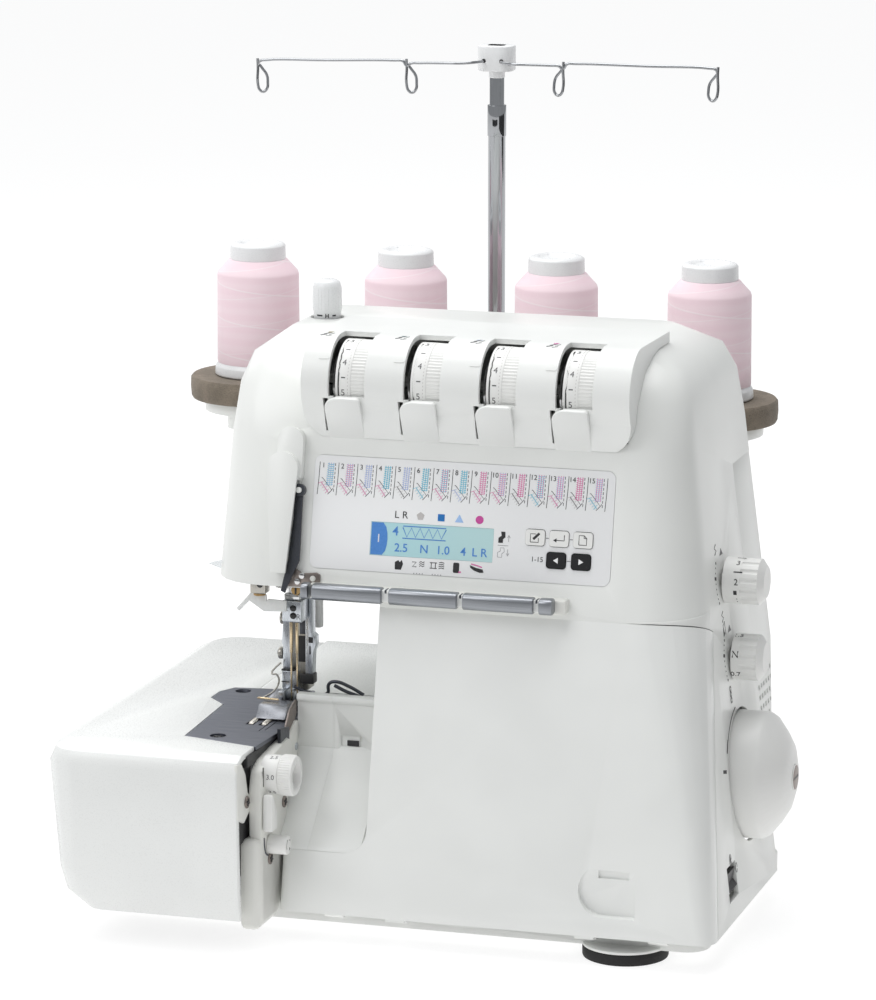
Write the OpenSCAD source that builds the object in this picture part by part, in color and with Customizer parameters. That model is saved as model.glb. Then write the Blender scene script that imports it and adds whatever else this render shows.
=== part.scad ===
// Serger overlock machine with a four-cone thread stand.
// Millimetres, +Z up, +X to the handwheel side, -Y to the operator.
// The origin is on the table at the middle of the whole outline.

/* [Casing] */
// Height of the casing's lower edge above the table
skirt_z = 15; // [12:0.5:18]
// Height of the seam between the looper cover and the upper casing
seam_z = 170; // [166:1:174]
// Height of the casing's top
top_z = 301; // [297:0.5:306]
// Distance of the casing's right side from the middle at the lower edge
side_x = 172; // [168:0.5:176]
// How far the right side leans in per millimetre of height
side_lean = 0.125; // [0.1:0.005:0.14]
// Distance of the front face in front of the middle at the lower edge
front_y = -128; // [-130:0.5:-124]
// How far the front face leans back per millimetre of height
front_lean = 0.21; // [0.19:0.005:0.22]
// Distance of the casing's rear face behind the middle
rear_y = 70; // [66:0.5:74]
// Left edge of the column that the looper cover wraps
column_x = -12; // [-15:0.5:-9]
// Left side of the head at its lower edge
head_x = -108; // [-111:0.5:-105]
// Moulded wall thickness
wall = 2.5; // [2:0.1:3]
// Gap between neighbouring casing mouldings
seam_gap = 0.5; // [0.4:0.05:0.8]

/* [Bed] */
// Height of the cloth plate and the needle plate
bed_z = 103; // [100:0.5:106]
// Left side of the cloth plate
bed_left = -172; // [-176:0.5:-168]
// Right side of the cloth plate
bed_right = -66; // [-68:0.5:-64]
// Front of the cloth plate
bed_front = -165; // [-168:0.5:-162]
// Rear of the cloth plate
bed_back = 98; // [94:0.5:102]
// Needle plate thickness
plate_t = 2; // [1.5:0.1:2.5]
// Distance of the needles to the left of the middle
needle_x = -70; // [-72:0.5:-68]
// Distance of the needles in front of the middle
needle_y = -60; // [-62:0.5:-58]

/* [Tension dials] */
// Distance between neighbouring tension dials
dial_pitch = 40; // [38:0.5:42]
// Left face of the first tension dial
dial_x = -39.5; // [-41.5:0.5:-37.5]
// Radius of a tension dial
dial_r = 21; // [19:0.5:23]
// Width of a tension dial
dial_w = 15.5; // [14:0.5:17]

/* [Side controls] */
// Distance of the side controls' axes in front of the middle
side_y = -25; // [-28:0.5:-22]
// Height of the stitch length dial's axis
length_z = 180; // [178:0.5:182]
// Height of the differential feed dial's axis
diff_z = 140; // [138:0.5:142]
// Radius of the side dials
side_dial_r = 12; // [10:0.5:13]
// Height of the handwheel's axis
wheel_z = 78; // [76:0.5:80]
// Radius of the handwheel
wheel_r = 33; // [30:0.5:35]
// Right end of the handwheel
wheel_end = 190.5; // [189:0.5:192]

/* [Thread stand] */
// Distance of the cones' row behind the middle
spool_y = 127; // [125:0.5:130]
// Distance between neighbouring cones
spool_pitch = 86; // [84:0.5:88]
// Position of the first cone
spool_x = -152.5; // [-154:0.5:-150]
// Height of the foam discs' top
foam_z = 245.5; // [243:0.5:248]
// Diameter of a foam disc
foam_d = 76; // [72:0.5:80]
// Thickness of a foam disc
foam_t = 12.5; // [10:0.5:14]
// Diameter of a thread cone's winding
cone_d = 45.5; // [42:0.5:48]
// Height of a thread cone with its cap
cone_h = 74; // [70:0.5:78]
// Distance of the antenna pole to the left of the middle
pole_x = -21.5; // [-24:0.5:-19]
// Distance of the antenna pole behind the middle
pole_y = 151; // [149:0.5:153]
// Diameter of the outer antenna tube
pole_d = 9.6; // [9:0.1:10.4]
// Height of the antenna head's top
pole_top = 431; // [425:1:437]

/* [Feet] */
// Diameter of a rubber foot
foot_d = 44; // [38:1:46]
// Height of a rubber foot
foot_h = 6; // [5:0.5:7]

/* [Hidden] */
fine = 64;
coarse = 32;
fit = 0.05;
gap = 0.4;
white = "ivory";
steel = "silver";
dark = "dimgray";

// Where the casing's faces lie at a height
function side_at(z) = side_x - side_lean * (z - skirt_z);
function front_at(z) = front_y + front_lean * (z - skirt_z);
function head_at(z) = head_x + 0.06 * (z - seam_z);

// Outline of a rectangle with round corners, counter-clockwise from the lower left
function arc(cx, cy, r, from, n = 6) = [for (i = [0:n]) let (a = from + i * 90 / n) [cx + r * cos(a), cy + r * sin(a)]];
function round_rect(x0, y0, x1, y1, r) = concat(
    arc(x0 + r, y0 + r, r, 180), arc(x1 - r, y0 + r, r, 270), arc(x1 - r, y1 - r, r, 0), arc(x0 + r, y1 - r, r, 90));

module box(x0, x1, y0, y1, z0, z1) {
    translate([x0, y0, z0]) cube([x1 - x0, y1 - y0, z1 - z0]);
}

module rod_x(x0, x1, y, z, r) {
    translate([x0, y, z]) rotate([0, 90, 0]) cylinder(h = x1 - x0, r = r, $fn = fine);
}

module rod_y(x, y0, y1, z, r) {
    translate([x, y1, z]) rotate([90, 0, 0]) cylinder(h = y1 - y0, r = r, $fn = fine);
}

module rod_z(x, y, z0, z1, r) {
    translate([x, y, z0]) cylinder(h = z1 - z0, r = r, $fn = fine);
}

// A block with round corners in plan
module pad_z(x0, x1, y0, y1, z0, z1, r) {
    translate([0, 0, z0]) linear_extrude(z1 - z0) polygon(round_rect(x0, y0, x1, y1, r));
}

// A block with round corners as seen from the right side
module pad_x(x0, x1, y0, y1, z0, z1, r) {
    translate([x0, 0, 0]) rotate([90, 0, 90]) linear_extrude(x1 - x0) polygon(round_rect(y0, z0, y1, z1, r));
}

// A block with round corners as seen from the front
module pad_y(x0, x1, y0, y1, z0, z1, r) {
    translate([0, y1, 0]) rotate([90, 0, 0]) linear_extrude(y1 - y0) polygon(round_rect(x0, z0, x1, z1, r));
}

// One slice of the casing: plan corners of radius rf at the left and rear, rc at the front right
module slice(z, x0, x1, y0, y1, rf, rc, rr = undef) {
    back = rr == undef ? rf : rr;
    translate([0, 0, z]) linear_extrude(0.01) polygon(concat(
        arc(x0 + rf, y0 + rf, rf, 180, rr == undef ? 3 : 6), arc(x1 - rc, y0 + rc, rc, 270, 7),
        arc(x1 - back, y1 - back, back, 0, 3), arc(x0 + back, y1 - back, back, 90, 3)));
}

// Outer form of the casing's upper part, set in by t
module head_form(t, z0) {
    hull() {
        slice(z0, head_at(z0) + t, side_at(z0) - t, front_at(z0) + t, rear_y - t, 32 - t, 36 - t, 14 - t);
        slice(252, head_at(252) + t, side_at(252) - t, front_at(252) + t, rear_y - t, 24 - t, 30 - t, 14 - t);
        slice(276, head_at(276) + 1 + t, side_at(276) - 1 - t, front_at(276) + 4 + t, rear_y - 2 - t, 20 - t, 26 - t, 14 - t);
        slice(top_z - 11, head_at(290) + 4 + t, side_at(290) - 6 - t, front_at(290) + 15 + t, rear_y - 8 - t, 16 - t, 20 - t, 13 - t);
        slice(top_z - t, head_at(301) + 18 + t, side_at(301) - 26 - t, front_at(301) + 34 + t, rear_y - 24 - t, 12 - t, 14 - t, 12 - t);
    }
}

// Outer form of the column and its front cover, set in by t
module column_form(t, x0, y1, z0, z1) {
    hull() {
        slice(z0, x0 + t, side_at(z0) - t, front_at(z0) + t, y1 - t, 6 - t, 9 - t);
        slice(70, x0 + t, side_at(70) - t, front_at(70) + t, y1 - t, 6 - t, 16 - t);
        slice(z1, x0 + t, side_at(z1) - t, front_at(z1) + t, y1 - t, 6 - t, 34 - t);
    }
}

// ---- Casing ----

tray_floor = foot_h;
throat_z = seam_z + 7;
cover_top = seam_z - seam_gap;
// Depth of the slanting edge between the looper cover and the right side
function edge_at(z) = -116 + 0.39 * (z - skirt_z);
pocket_y = -76;
pocket_z = 46;
ledge_z = 110;
cover_left = -57.4;
// Left end of the pocket's wall, clear of the seam width dial when the cover swings
pocket_x = -43;
bay = [-54, 113, -92, -38, 258, 310];
dial_y = -62;
dial_z = 281;
hood_r = 24;
rear_split = 18;
rear_top = 232;

hinge_y = -118;
hinge_z = 16;
seam_r = norm([front_at(seam_z) - hinge_y, seam_z - hinge_z]);
cover_rear = -70;

// Space that the looper cover fills: in front of its slanting rear edge and below the arc it swings on
module cover_space(shift) {
    intersection() {
        rod_x(-200, 200, hinge_y, hinge_z, seam_r + shift);
        union() {
            edge_wedge(shift);
            box(-200, 60, -200, cover_rear + shift, 0, 200);
        }
    }
}

module edge_wedge(shift) {
    rotate([90, 0, 90]) linear_extrude(400, center = true) polygon([
        [edge_at(0) + shift, 0], [edge_at(200) + shift, 200], [-200, 200], [-200, 0]]);
}

tray_front = -112;

module base_tray() {
    color(white) difference() {
        union() {
            difference() {
                pad_z(-150, side_x - 8, tray_front, rear_y - 6, tray_floor, skirt_z - gap, 12);
                pad_z(-147, side_x - 11, tray_front + 3, rear_y - 9, tray_floor + wall, skirt_z, 9);
            }
            // seat of the foot under the front right corner
            rod_z(foot_places[2][0], foot_places[2][1], tray_floor, tray_floor + 1.5, foot_d / 2);
            // lugs for the bar of the looper cover
            for (x = lug_places) {
                rod_x(x, x + boss_w, hinge_y, hinge_z, boss_r);
                box(x, x + boss_w, hinge_y, tray_front + 4, hinge_z - 3.5, hinge_z + 3.5);
                box(x, x + boss_w, tray_front + 1, tray_front + 6, tray_floor + 1, hinge_z + 3.5);
            }
        }
        for (x = lug_places) rod_x(x - 1, x + boss_w + 1, hinge_y, hinge_z, bar_r + fit);
    }
}

foot_places = [[-128, -56], [-128, 42], [121, -104], [122, 42]];

module rubber_feet() {
    color("black") for (p = foot_places) difference() {
        rod_z(p[0], p[1], 0, foot_h, foot_d / 2);
        rod_z(p[0], p[1], -1, 2.5, 5);
    }
}

module upper_shell() {
    switch_seat();
    color(white) difference() {
        union() {
            head_form(0, seam_z);
            difference() {
                column_form(0, column_x, rear_y, skirt_z, seam_z + 1);
                cover_space(seam_gap);
            }
        }
        head_form(wall, throat_z + wall);
        column_form(wall, column_x, rear_y, skirt_z - 1, throat_z + wall + 1);
        box(-200, column_x, -200, 200, 0, throat_z);
        box(column_x - 1, 200, rear_split, 200, 0, rear_top);
        box(bay[0], bay[1], bay[2], bay[3], bay[4], bay[5]);
        // ways out for the side controls, the handwheel and the switch
        rod_x(100, 200, side_y, length_z, side_dial_r - 6);
        rod_x(100, 200, side_y, diff_z, side_dial_r - 6);
        rod_x(145, 200, side_y, wheel_z, wheel_r + 1.5);
        box(150, 190, switch_y - switch_w / 2 - 1, switch_y + switch_w / 2 + 1, switch_z - 8.4, switch_z + 9.4);
        // ways out for the needle bar, the presser bar and the take-up lever
        pad_z(presser_x - 8, needle_x + 9, needle_y - 12, presser_y + 8, 160, 200, 3);
        box(lifter_x - 4.5, lifter_x + 4.5, 60, 80, 184, 214);
        box(column_x - 1, column_x + wall + 0.5, -24, -10, 30, 58);
        rod_z(knob_x, knob_y, 250, 320, 9);
        // seat of the control panel
        panel_block(panel_w + 0.3, panel_h + 0.3, -1, 6, 4.3);
        panel_block(panel_w - 12, panel_h - 12, -8, 6, 3);
    }
}

// Lugs and pin that carry the power switch inside the right wall
module switch_seat() {
    x = side_at(switch_z);
    color(white) {
        for (y = [-switch_w / 2 - 3.5, switch_w / 2 + 1.5]) box(x - 11, x - 1.5, switch_y + y, switch_y + y + 2, switch_z - 4, switch_z + 4);
        rod_y(x - 8, switch_y - switch_w / 2 - 2.5, switch_y + switch_w / 2 + 2.5, switch_z, 1.5);
    }
}

knob_x = -72.5;
knob_y = 6;
panel_w = 159;
panel_h = 58;
panel_x = 28.5;
panel_z = 216;
panel_lean = atan(front_lean);

// Places its children on the leaning front face: local X across, local Y up the face, local Z outwards
module on_front(x, z) {
    translate([x, front_at(z), z]) rotate([90 - panel_lean, 0, 0]) children();
}

module panel_block(w, h, z0, z1, r) {
    on_front(panel_x, panel_z) translate([0, 0, z0]) linear_extrude(z1 - z0)
        polygon(round_rect(-w / 2, -h / 2, w / 2, h / 2, r));
}

buttons = [[panel_w / 2 - 40, -6.5, 10, 8], [panel_w / 2 - 27.5, -6.5, 10, 8], [panel_w / 2 - 15, -6.5, 10, 8],
    [panel_w / 2 - 28.5, -17.5, 10, 8], [panel_w / 2 - 15.5, -17.5, 10, 8]];

module control_panel() {
    color("whitesmoke") difference() {
        panel_block(panel_w, panel_h, -1, 0.2, 4);
        on_front(panel_x, panel_z) {
            for (b = buttons) translate([b[0], b[1], -2]) linear_extrude(4)
                polygon(round_rect(-b[2] / 2 - 0.3, -b[3] / 2 - 0.3, b[2] / 2 + 0.3, b[3] / 2 + 0.3, 1.8));
            translate([lcd_x, lcd_y, -2]) cube([lcd_w + 0.2, lcd_h + 0.2, 8], center = true);
        }
    }
}

lcd_x = 64.5 - panel_w / 2;
lcd_y = -12;
lcd_w = 65;
lcd_h = 17;

module lcd_module() {
    color("lightblue") on_front(panel_x, panel_z) {
        translate([lcd_x, lcd_y, -3.4]) cube([lcd_w, lcd_h, 7], center = true);
        translate([lcd_x, lcd_y, -5.45]) cube([lcd_w + 6, lcd_h + 8, 2.9], center = true);
    }
}

module circuit_board() {
    color("darkgreen") on_front(panel_x, panel_z) translate([10, -4, -8])
        cube([124, 38, 1.6], center = true);
}

module button(i) {
    b = buttons[i];
    color(i < 3 ? "white" : "black") on_front(panel_x, panel_z) translate([b[0], b[1], -4]) union() {
        linear_extrude(5) polygon(round_rect(-b[2] / 2, -b[3] / 2, b[2] / 2, b[3] / 2, 1.5));
        linear_extrude(2) polygon(round_rect(-b[2] / 2 + 3, -b[3] / 2 + 2, b[2] / 2 - 3, b[3] / 2 - 2, 1.2));
    }
}

module button_edit() { button(0); }
module button_enter() { button(1); }
module button_page() { button(2); }
module button_back() { button(3); }
module button_next() { button(4); }

vent_rows = 9;
vent_columns = 6;
vent_pitch = 5.5;

module rear_cover() {
    color(white) difference() {
        rear_form(0);
        rear_form(wall);
        box(-200, 200, 0, rear_split + 3, 0, 300);
        // cooling slots through the right side and the rear
        for (i = [0:vent_rows - 1], j = [0:vent_columns - 1])
            box(140, 180, rear_split + 10 + j * vent_pitch, rear_split + 13 + j * vent_pitch, 76 + i * vent_pitch, 78.5 + i * vent_pitch);
        box(119, 141, rear_y - 2, rear_y + 20, 28, 48);
    }
    // recessed power inlet
    color("dimgray") difference() {
        box(118, 142, rear_y - 6, rear_y + 4, 27, 49);
        box(121, 139, rear_y - 4, rear_y + 20, 30, 46);
    }
}

// Plan of the rear cover at a height: full width at the split, drawn in towards the rear
module rear_slice(z, t, x1, y1) {
    r = 9 - t;
    translate([0, 0, z]) linear_extrude(0.01) polygon(concat(
        [[column_x + 1 + t, rear_split + seam_gap], [side_at(z) - 2 - t, rear_split + seam_gap]],
        arc(x1 - t - r, y1 - t - r, r, 0, 3), arc(column_x + 1 + t + r, y1 - t - r, r, 90, 3)));
}

module rear_form(t) {
    hull() {
        rear_slice(skirt_z + 2 + (t > 0 ? -3 : 0), t, side_at(130) - 2, rear_y + 8);
        rear_slice(130, t, side_at(130) - 2, rear_y + 5);
        rear_slice(rear_top - 1 - t, t, side_at(231) - 2, rear_y + 2);
    }
}

// ---- Tension unit ----

function dial_left(i) = dial_x + i * dial_pitch;

// Side outline of the dial unit's hood, set in by t
function hood(t) = concat(
    [[-4 - t, 296 + t], [-4 - t, top_z + 3 - t], [dial_y, dial_z + hood_r - t]],
    [for (a = [100:4:212]) [dial_y + (hood_r - t) * cos(a), dial_z + (hood_r - t) * sin(a)]],
    [[front_at(262) - 5 + t, 262], [front_at(253) + 0.4 + t, 253 + t], [front_at(253) + 4, 253 + t], [-38, 262]]);

module hood_solid(t, x0, x1) {
    translate([x0, 0, 0]) rotate([90, 0, 90]) linear_extrude(x1 - x0) polygon(hood(t));
}

module dial_unit_cover() {
    color(white) difference() {
        intersection() {
            hood_solid(0, -57, 116);
            pad_y(-57, 116, -120, 20, 252, 330, 16);
        }
        hood_solid(wall, -54, 113);
        head_form(-gap, seam_z);
        // dial windows, each with the dark slot at its lower left
        for (i = [0:3]) {
            box(dial_left(i) - 3, dial_left(i) + dial_w + 0.8, -100, dial_y + 6, 276, 320);
            box(dial_left(i) - 6, dial_left(i) - 3.2, -100, -60, 257, 275);
        }
    }
}

post_r = 3;

module tension_posts() {
    color(steel) union() {
        rod_x(bay[0], bay[1], dial_y, dial_z, post_r);
        for (i = [0:3]) {
            rod_x(dial_left(i) - 2.2, dial_left(i) - 1.4, dial_y, dial_z, 14);
            rod_x(dial_left(i) - 3.4, dial_left(i) - 2.6, dial_y, dial_z, 14);
            difference() {
                rod_x(dial_left(i) - 3.4, dial_left(i) - 1.4, dial_y, dial_z, 5);
                rod_x(dial_left(i) - 4, dial_left(i), dial_y, dial_z, post_r - 0.5);
            }
        }
    }
}

module tension_dial(i) {
    x0 = dial_left(i);
    color("white") difference() {
        union() {
            rod_x(x0, x0 + 8, dial_y, dial_z, dial_r);
            // knurled grip
            translate([x0 + 7, dial_y, dial_z]) rotate([0, 90, 0]) linear_extrude(dial_w - 7)
                polygon([for (k = [0:143]) (dial_r - 0.15 - (k % 2) * 0.35) * [cos(k * 2.5), sin(k * 2.5)]]);
        }
        rod_x(x0 - 1, x0 + dial_w + 1, dial_y, dial_z, post_r + fit);
        rod_x(x0 - 1, x0 + 3, dial_y, dial_z, dial_r - 3);
    }
}

module tension_dial_1() { tension_dial(0); }
module tension_dial_2() { tension_dial(1); }
module tension_dial_3() { tension_dial(2); }
module tension_dial_4() { tension_dial(3); }

rail_z = 178;
function rail_y() = front_at(rail_z) - 10;
rail_segments = [[-51, -47], [-45, -8], [-4, 32], [35, 72], [75, 82]];

module thread_rail() {
    color(white) difference() {
        translate([0, 0, rail_z - 6]) linear_extrude(9)
            polygon([[-50, front_at(rail_z)], [88, front_at(rail_z)], [88, rail_y() + 4], [-50, rail_y() + 4]]);
        for (x = [40, 77]) box(x - 5.5, x + 5.5, -200, rail_y() + 8, rail_z - 7, rail_z - 2);
        head_form(-0.02, seam_z - 6);
    }
    color(steel) for (s = rail_segments)
        pad_x(s[0], s[1], rail_y() - 3, rail_y() + 4, rail_z - 4, rail_z + 4, 2.5);
}

// ---- Bed ----

arm_left = -118;
arm_right = -66.5;
arm_top = bed_z - 4;
plate_outline = [[-107, -126], [-65, -137], [-64, -116], [-62.8, -95], [-62.8, -84], [-66, -64], [-70, -40], [-96, -19],
    [-116, -22], [-121, -32], [-121, -46], [-110, -58]];

module plate_shape(grow) {
    if (grow > 0) {
        offset(delta = grow) polygon(plate_outline);
    } else polygon(plate_outline);
}

module needle_plate() {
    plate_screws();
    color("slategray") difference() {
        translate([0, 0, bed_z - plate_t]) linear_extrude(plate_t) polygon(plate_outline);
        for (x = [-86, -81, -76]) box(x - 1.4, x + 1.4, -108, -88, 90, 110);
        box(needle_x - 6, bed_right + 5, needle_y - 6, needle_y + 6, 90, 110);
        for (s = plate_screw_at) rod_z(s[0], s[1], 90, 110, 2.2);
    }
}

plate_screw_at = [[-91, -120], [-108, -28]];

module plate_screws() {
    color(steel) for (s = plate_screw_at) difference() {
        union() {
            rod_z(s[0], s[1], bed_z - 1.2, bed_z + 0.4, 2.1);
            rod_z(s[0], s[1], bed_z - 8, bed_z - 1, 1.5);
        }
        box(s[0] - 3, s[0] + 3, s[1] - 0.4, s[1] + 0.4, bed_z - 0.3, bed_z + 2);
    }
}

// Metal arm under the needle plate: two cheeks, a rear block and a top frame round the feed slots
module bed_arm() {
    color("lightsteelblue") difference() {
        union() {
            box(arm_left, arm_left + 6, -120, 60, skirt_z + 3, arm_top);
            box(arm_right - 5, arm_right - 0.5, -125, 60, skirt_z + 3, arm_top - 4);
            box(arm_left, arm_right - 0.5, 20, 60, skirt_z + 3, arm_top);
            box(arm_left, arm_right - 0.5, -104, 56, tray_floor + wall, skirt_z + 9);
            box(arm_left, -98, -120, 20, arm_top - 4, arm_top);
            box(-98, -68, -50, -20, arm_top - 4, arm_top);
            // pads that the needle plate lies on
            intersection() {
                translate([0, 0, arm_top - 2]) linear_extrude(bed_z - plate_t - arm_top + 2) polygon(plate_outline);
                union() {
                    box(-125, -98, -120, -20, 0, bed_z);
                    box(-99, -68, -50, -20, 0, bed_z);
                }
            }
            // runners for the cloth plate's sleeves
            for (y = runner_rows) box(-158, arm_left + 1, y - 4, y + 4, runner_z - 3, runner_z + 3);
        }
        for (s = plate_screw_at) rod_z(s[0], s[1], bed_z - 9, bed_z, 1.55);
        // slide of the feed bar
        box(-84 - gap, -78 + gap, 10, 40, 80 - gap, 86 + gap);
    }
}

// Moulded wall at the right end of the bed, with the top ledge behind the looper space
module inner_wall() {
    color(white) difference() {
        union() {
            pad_x(-65.5, -62.5, -156, -72, skirt_z + 4, bed_z - 6, 8);
            pad_x(-65.5, -58, -142, -126, 30, 76, 5);
            box(-65.5, -62.5, -100, 55, skirt_z + 4, bed_z - 8);
            box(-63, pocket_x - seam_gap, pocket_y - 0.5, pocket_y + wall, pocket_z + 1, ledge_z);
            rod_x(-65, knife_x + 2, knife_y, knife_z, 2);
        }
        rod_x(-70, -50, dial_w_y, dial_w_z, 3.1);
        rod_x(-70, -50, -135, 52, 2.6);
        box(-70, -60, -150, -142, 36, 42);
        box(-70, -60, -152, -144, 82, 90);
    }
}

dial_w_y = -132;
dial_w_z = 88;

module width_dial() {
    color("white") difference() {
        union() {
            rod_x(-61.5, -44, dial_w_y, dial_w_z, 10);
            rod_x(-70, -61.5, dial_w_y, dial_w_z, 3);
        }
        rod_x(-50, -40, dial_w_y, dial_w_z, 6);
    }
}

module finger_lever() {
    color("white") pad_x(-57.5, -53.5, -142.5, -135.5, 60.5, 75.5, 3);
}

module width_knob() {
    color("white") union() {
        rod_x(-57.5, -49, -135, 52, 5);
        rod_x(-69, -57.5, -135, 52, 2.5);
    }
}

// Cloth plate: a moulded shell that swings out to the left
module cloth_form(t) {
    hull() {
        slice(17 - (t > 0 ? 14 : 0), bed_left + 22 + t, bed_right, bed_front + 5 + t, bed_back - t, 8, 1);
        slice(26, bed_left + 10 + t, bed_right, bed_front + 3 + t, bed_back - t, 10, 1);
        slice(38, bed_left + 6 + t, bed_right, bed_front + 2 + t, bed_back - t, 12, 1);
        slice(bed_z - 9, bed_left + t, bed_right, bed_front + t, bed_back - t, 18, 1);
        slice(bed_z - 2.6 - t * 0.7, bed_left + 2.6 + t, bed_right, bed_front + 2.6 + t, bed_back - 2 - t, 17, 1);
        slice(bed_z - t, bed_left + 9 + t, bed_right, bed_front + 9 + t, bed_back - 8 - t, 14, 1);
    }
}

split_x = -103;
runner_rows = [-55, 35];
runner_z = 60;

module cloth_plate() {
    color(white) difference() {
        union() {
            difference() {
                cloth_form(0);
                translate([3, 0, 0]) cloth_form(wall + 0.5);
            }
            // sleeves that ride on the arm's runners
            for (y = runner_rows) box(-138, -122, y - 7, y + 7, runner_z - 5, bed_z - 2);
        }
        translate([0, 0, bed_z - 20]) linear_extrude(30) plate_shape(gap);
        linear_extrude(200) polygon([[split_x, -30], [-80, -50], [-72, -84], [0, -84], [0, 200], [split_x, 200]]);
        for (y = runner_rows) box(-170 + 12, -110, y - 4 - gap, y + 4 + gap, runner_z - 3 - gap, runner_z + 3 + gap);
    }
}

// Fixed part of the bed behind the needle plate
module bed_cover() {
    color(white) difference() {
        union() {
        // patch behind the needle plate
        translate([0, 0, bed_z - wall]) linear_extrude(wall)
            polygon([[split_x + gap, -14], [split_x + gap, -30], [-80, -50], [-66, -64], [-66, -14]]);
        intersection() {
            hull() {
                slice(skirt_z + 2, split_x + gap, -14, -18, bed_back - 2, 1, 1);
                slice(bed_z - 3, split_x + gap, -14, -18, bed_back, 1, 1);
                slice(bed_z, split_x + gap, -14, -18, bed_back - 3, 1, 1);
            }
            box(split_x + gap, column_x - 1, -18.5, bed_back, 0, 200);
        }
        }
        box(split_x - 10, 0, -30, bed_back - wall, 0, bed_z - wall);
        translate([0, 0, bed_z - 20]) linear_extrude(30) plate_shape(gap);
        box(-66, 0, -30, -16, 0, bed_z - 8);
    }
}

// ---- Looper cover ----

bar_r = 2;
boss_r = 5;
cover_bosses = [0, 100];
lug_places = [-34, 137];
boss_w = 10;
thumb_x = 114;
thumb_z = 38;
thumb_r = 13;
thumb_depth = 2.2;

module pocket_form(t) {
    pad_y(cover_left - 30, column_x + t, -300, pocket_y + t, pocket_z - t, seam_z + 60, 12 + t);
    box(cover_left - 30, column_x + t, -300, 100, ledge_z - t, seam_z + 60);
}

module thumb_form(t) {
    translate([0, front_at(thumb_z) + thumb_depth + t, 0]) rotate([90, 0, 0]) linear_extrude(30 + t) {
        translate([thumb_x, thumb_z]) circle(r = thumb_r + t, $fn = fine);
        translate([thumb_x, thumb_z - thumb_r - t]) square([17 + t, 2 * (thumb_r + t)]);
    }
}

module looper_cover() {
    color(white) difference() {
        union() {
            difference() {
                intersection() {
                    column_form(0, cover_left, -30, skirt_z, seam_z + 1);
                    cover_space(0);
                }
                difference() {
                    intersection() {
                        column_form(wall, cover_left, -20, skirt_z - 3, seam_z + 2);
                        rod_x(-200, 200, hinge_y, hinge_z, seam_r - wall);
                    }
                    pocket_form(wall);
                    thumb_form(wall);
                }
                pocket_form(0);
                box(cover_left - 1, pocket_x, -300, 0, pocket_z, 300);
                // room to swing past the fixed return wall
                difference() {
                    box(cover_left - 1, pocket_x, hinge_y, 0, 0, 300);
                    rod_x(-200, 200, hinge_y, hinge_z, norm([pocket_y - 1 - hinge_y, pocket_z + 0.5 - hinge_z]));
                }
            }
            for (x = cover_bosses) {
                rod_x(x, x + boss_w, hinge_y, hinge_z, boss_r);
                box(x, x + boss_w, hinge_y - 8, hinge_y, hinge_z - 3, hinge_z + 3);
            }
        }
        for (x = cover_bosses) rod_x(x - 1, x + boss_w + 1, hinge_y, hinge_z, bar_r + fit);
        thumb_form(0);
        box(thumb_x - 3, thumb_x + 13, -140, front_at(thumb_z) + thumb_depth + 1.5, 44, 48);
        box(-29, -20, -90, pocket_y + 1.5, 93, 98);
    }
}

module cover_hinge_bar() {
    color(steel) rod_x(lug_places[0] - 8, lug_places[1] + boss_w + 8, hinge_y, hinge_z, bar_r);
}

// ---- Frame and drive ----

left_plate_x = -6;
right_plate_x = 116;
plate_w = 6;
shaft_r = 5;
bush_r = 9;
pulley_x = 128;
pulley_w = 10;
pulley_r = 22;
motor_y = 30;
motor_z = 56;
motor_r = 24;
motor_pulley_r = 8;
presser_x = needle_x - 3;
presser_y = needle_y + 14;
bar_radius = 3.5;

module cast_frame() {
    color("lightsteelblue") difference() {
        union() {
            for (x = [left_plate_x, right_plate_x])
                pad_x(x, x + plate_w, -48, 50, tray_floor + wall, throat_z + 40, 5);
            box(left_plate_x, right_plate_x + plate_w, -43, 45, tray_floor + wall, skirt_z);
            box(left_plate_x + 1, right_plate_x + 1, 20, 40, 196, 206);
            // arm out over the needles, and the two guide blocks on it
            box(-92, left_plate_x + 1, -10, 20, 196, 206);
            box(-92, left_plate_x + 1, 10, 20, 206, 236);
            box(presser_x - 8, needle_x + 8, needle_y - 8, 11, 226, 236);
            box(presser_x - 8, needle_x + 8, needle_y - 8, -9, 196, 206);
            // bracket and pins of the loopers
            box(looper_x - 8, left_plate_x + 1, -20, -14, 34, 54);
            for (x = [looper_x, looper_x + 22]) rod_y(x, looper_y - 8, -15, looper_z, 2.5);
            // bracket and pin of the foot lifter, boss of the pressure knob
            box(lifter_x - 12, lifter_x - 6, 18, lifter_y + 5, lifter_z - 5, 206);
            rod_x(lifter_x - 12, lifter_x + 6, lifter_y, lifter_z, 2.5);
            rod_z(knob_x, knob_y, 200, 240, 6);
        }
        for (z = [190, 220]) {
            rod_z(needle_x, needle_y, z, z + 20, bar_radius + fit);
            rod_z(presser_x, presser_y, z, z + 20, bar_radius + fit);
        }
        for (x = [left_plate_x, right_plate_x]) rod_x(x - 1, x + plate_w + 1, side_y, wheel_z, bush_r);
        rod_x(right_plate_x - 1, right_plate_x + plate_w + 1, motor_y, motor_z, 6);
        for (z = [length_z, diff_z]) rod_x(right_plate_x - 1, right_plate_x + plate_w + 1, side_y, z, 3 + fit);
        rod_z(knob_x, knob_y, 225, 245, 3 + fit);
        // clearance for the control panel's boards
        box(needle_x + 9, 200, -200, -47, throat_z + 2, 300);
    }
}

module shaft_bushes() {
    color("goldenrod") for (x = [left_plate_x, right_plate_x]) difference() {
        rod_x(x - 1, x + plate_w + 1, side_y, wheel_z, bush_r);
        rod_x(x - 2, x + plate_w + 2, side_y, wheel_z, shaft_r + fit);
    }
}

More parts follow.
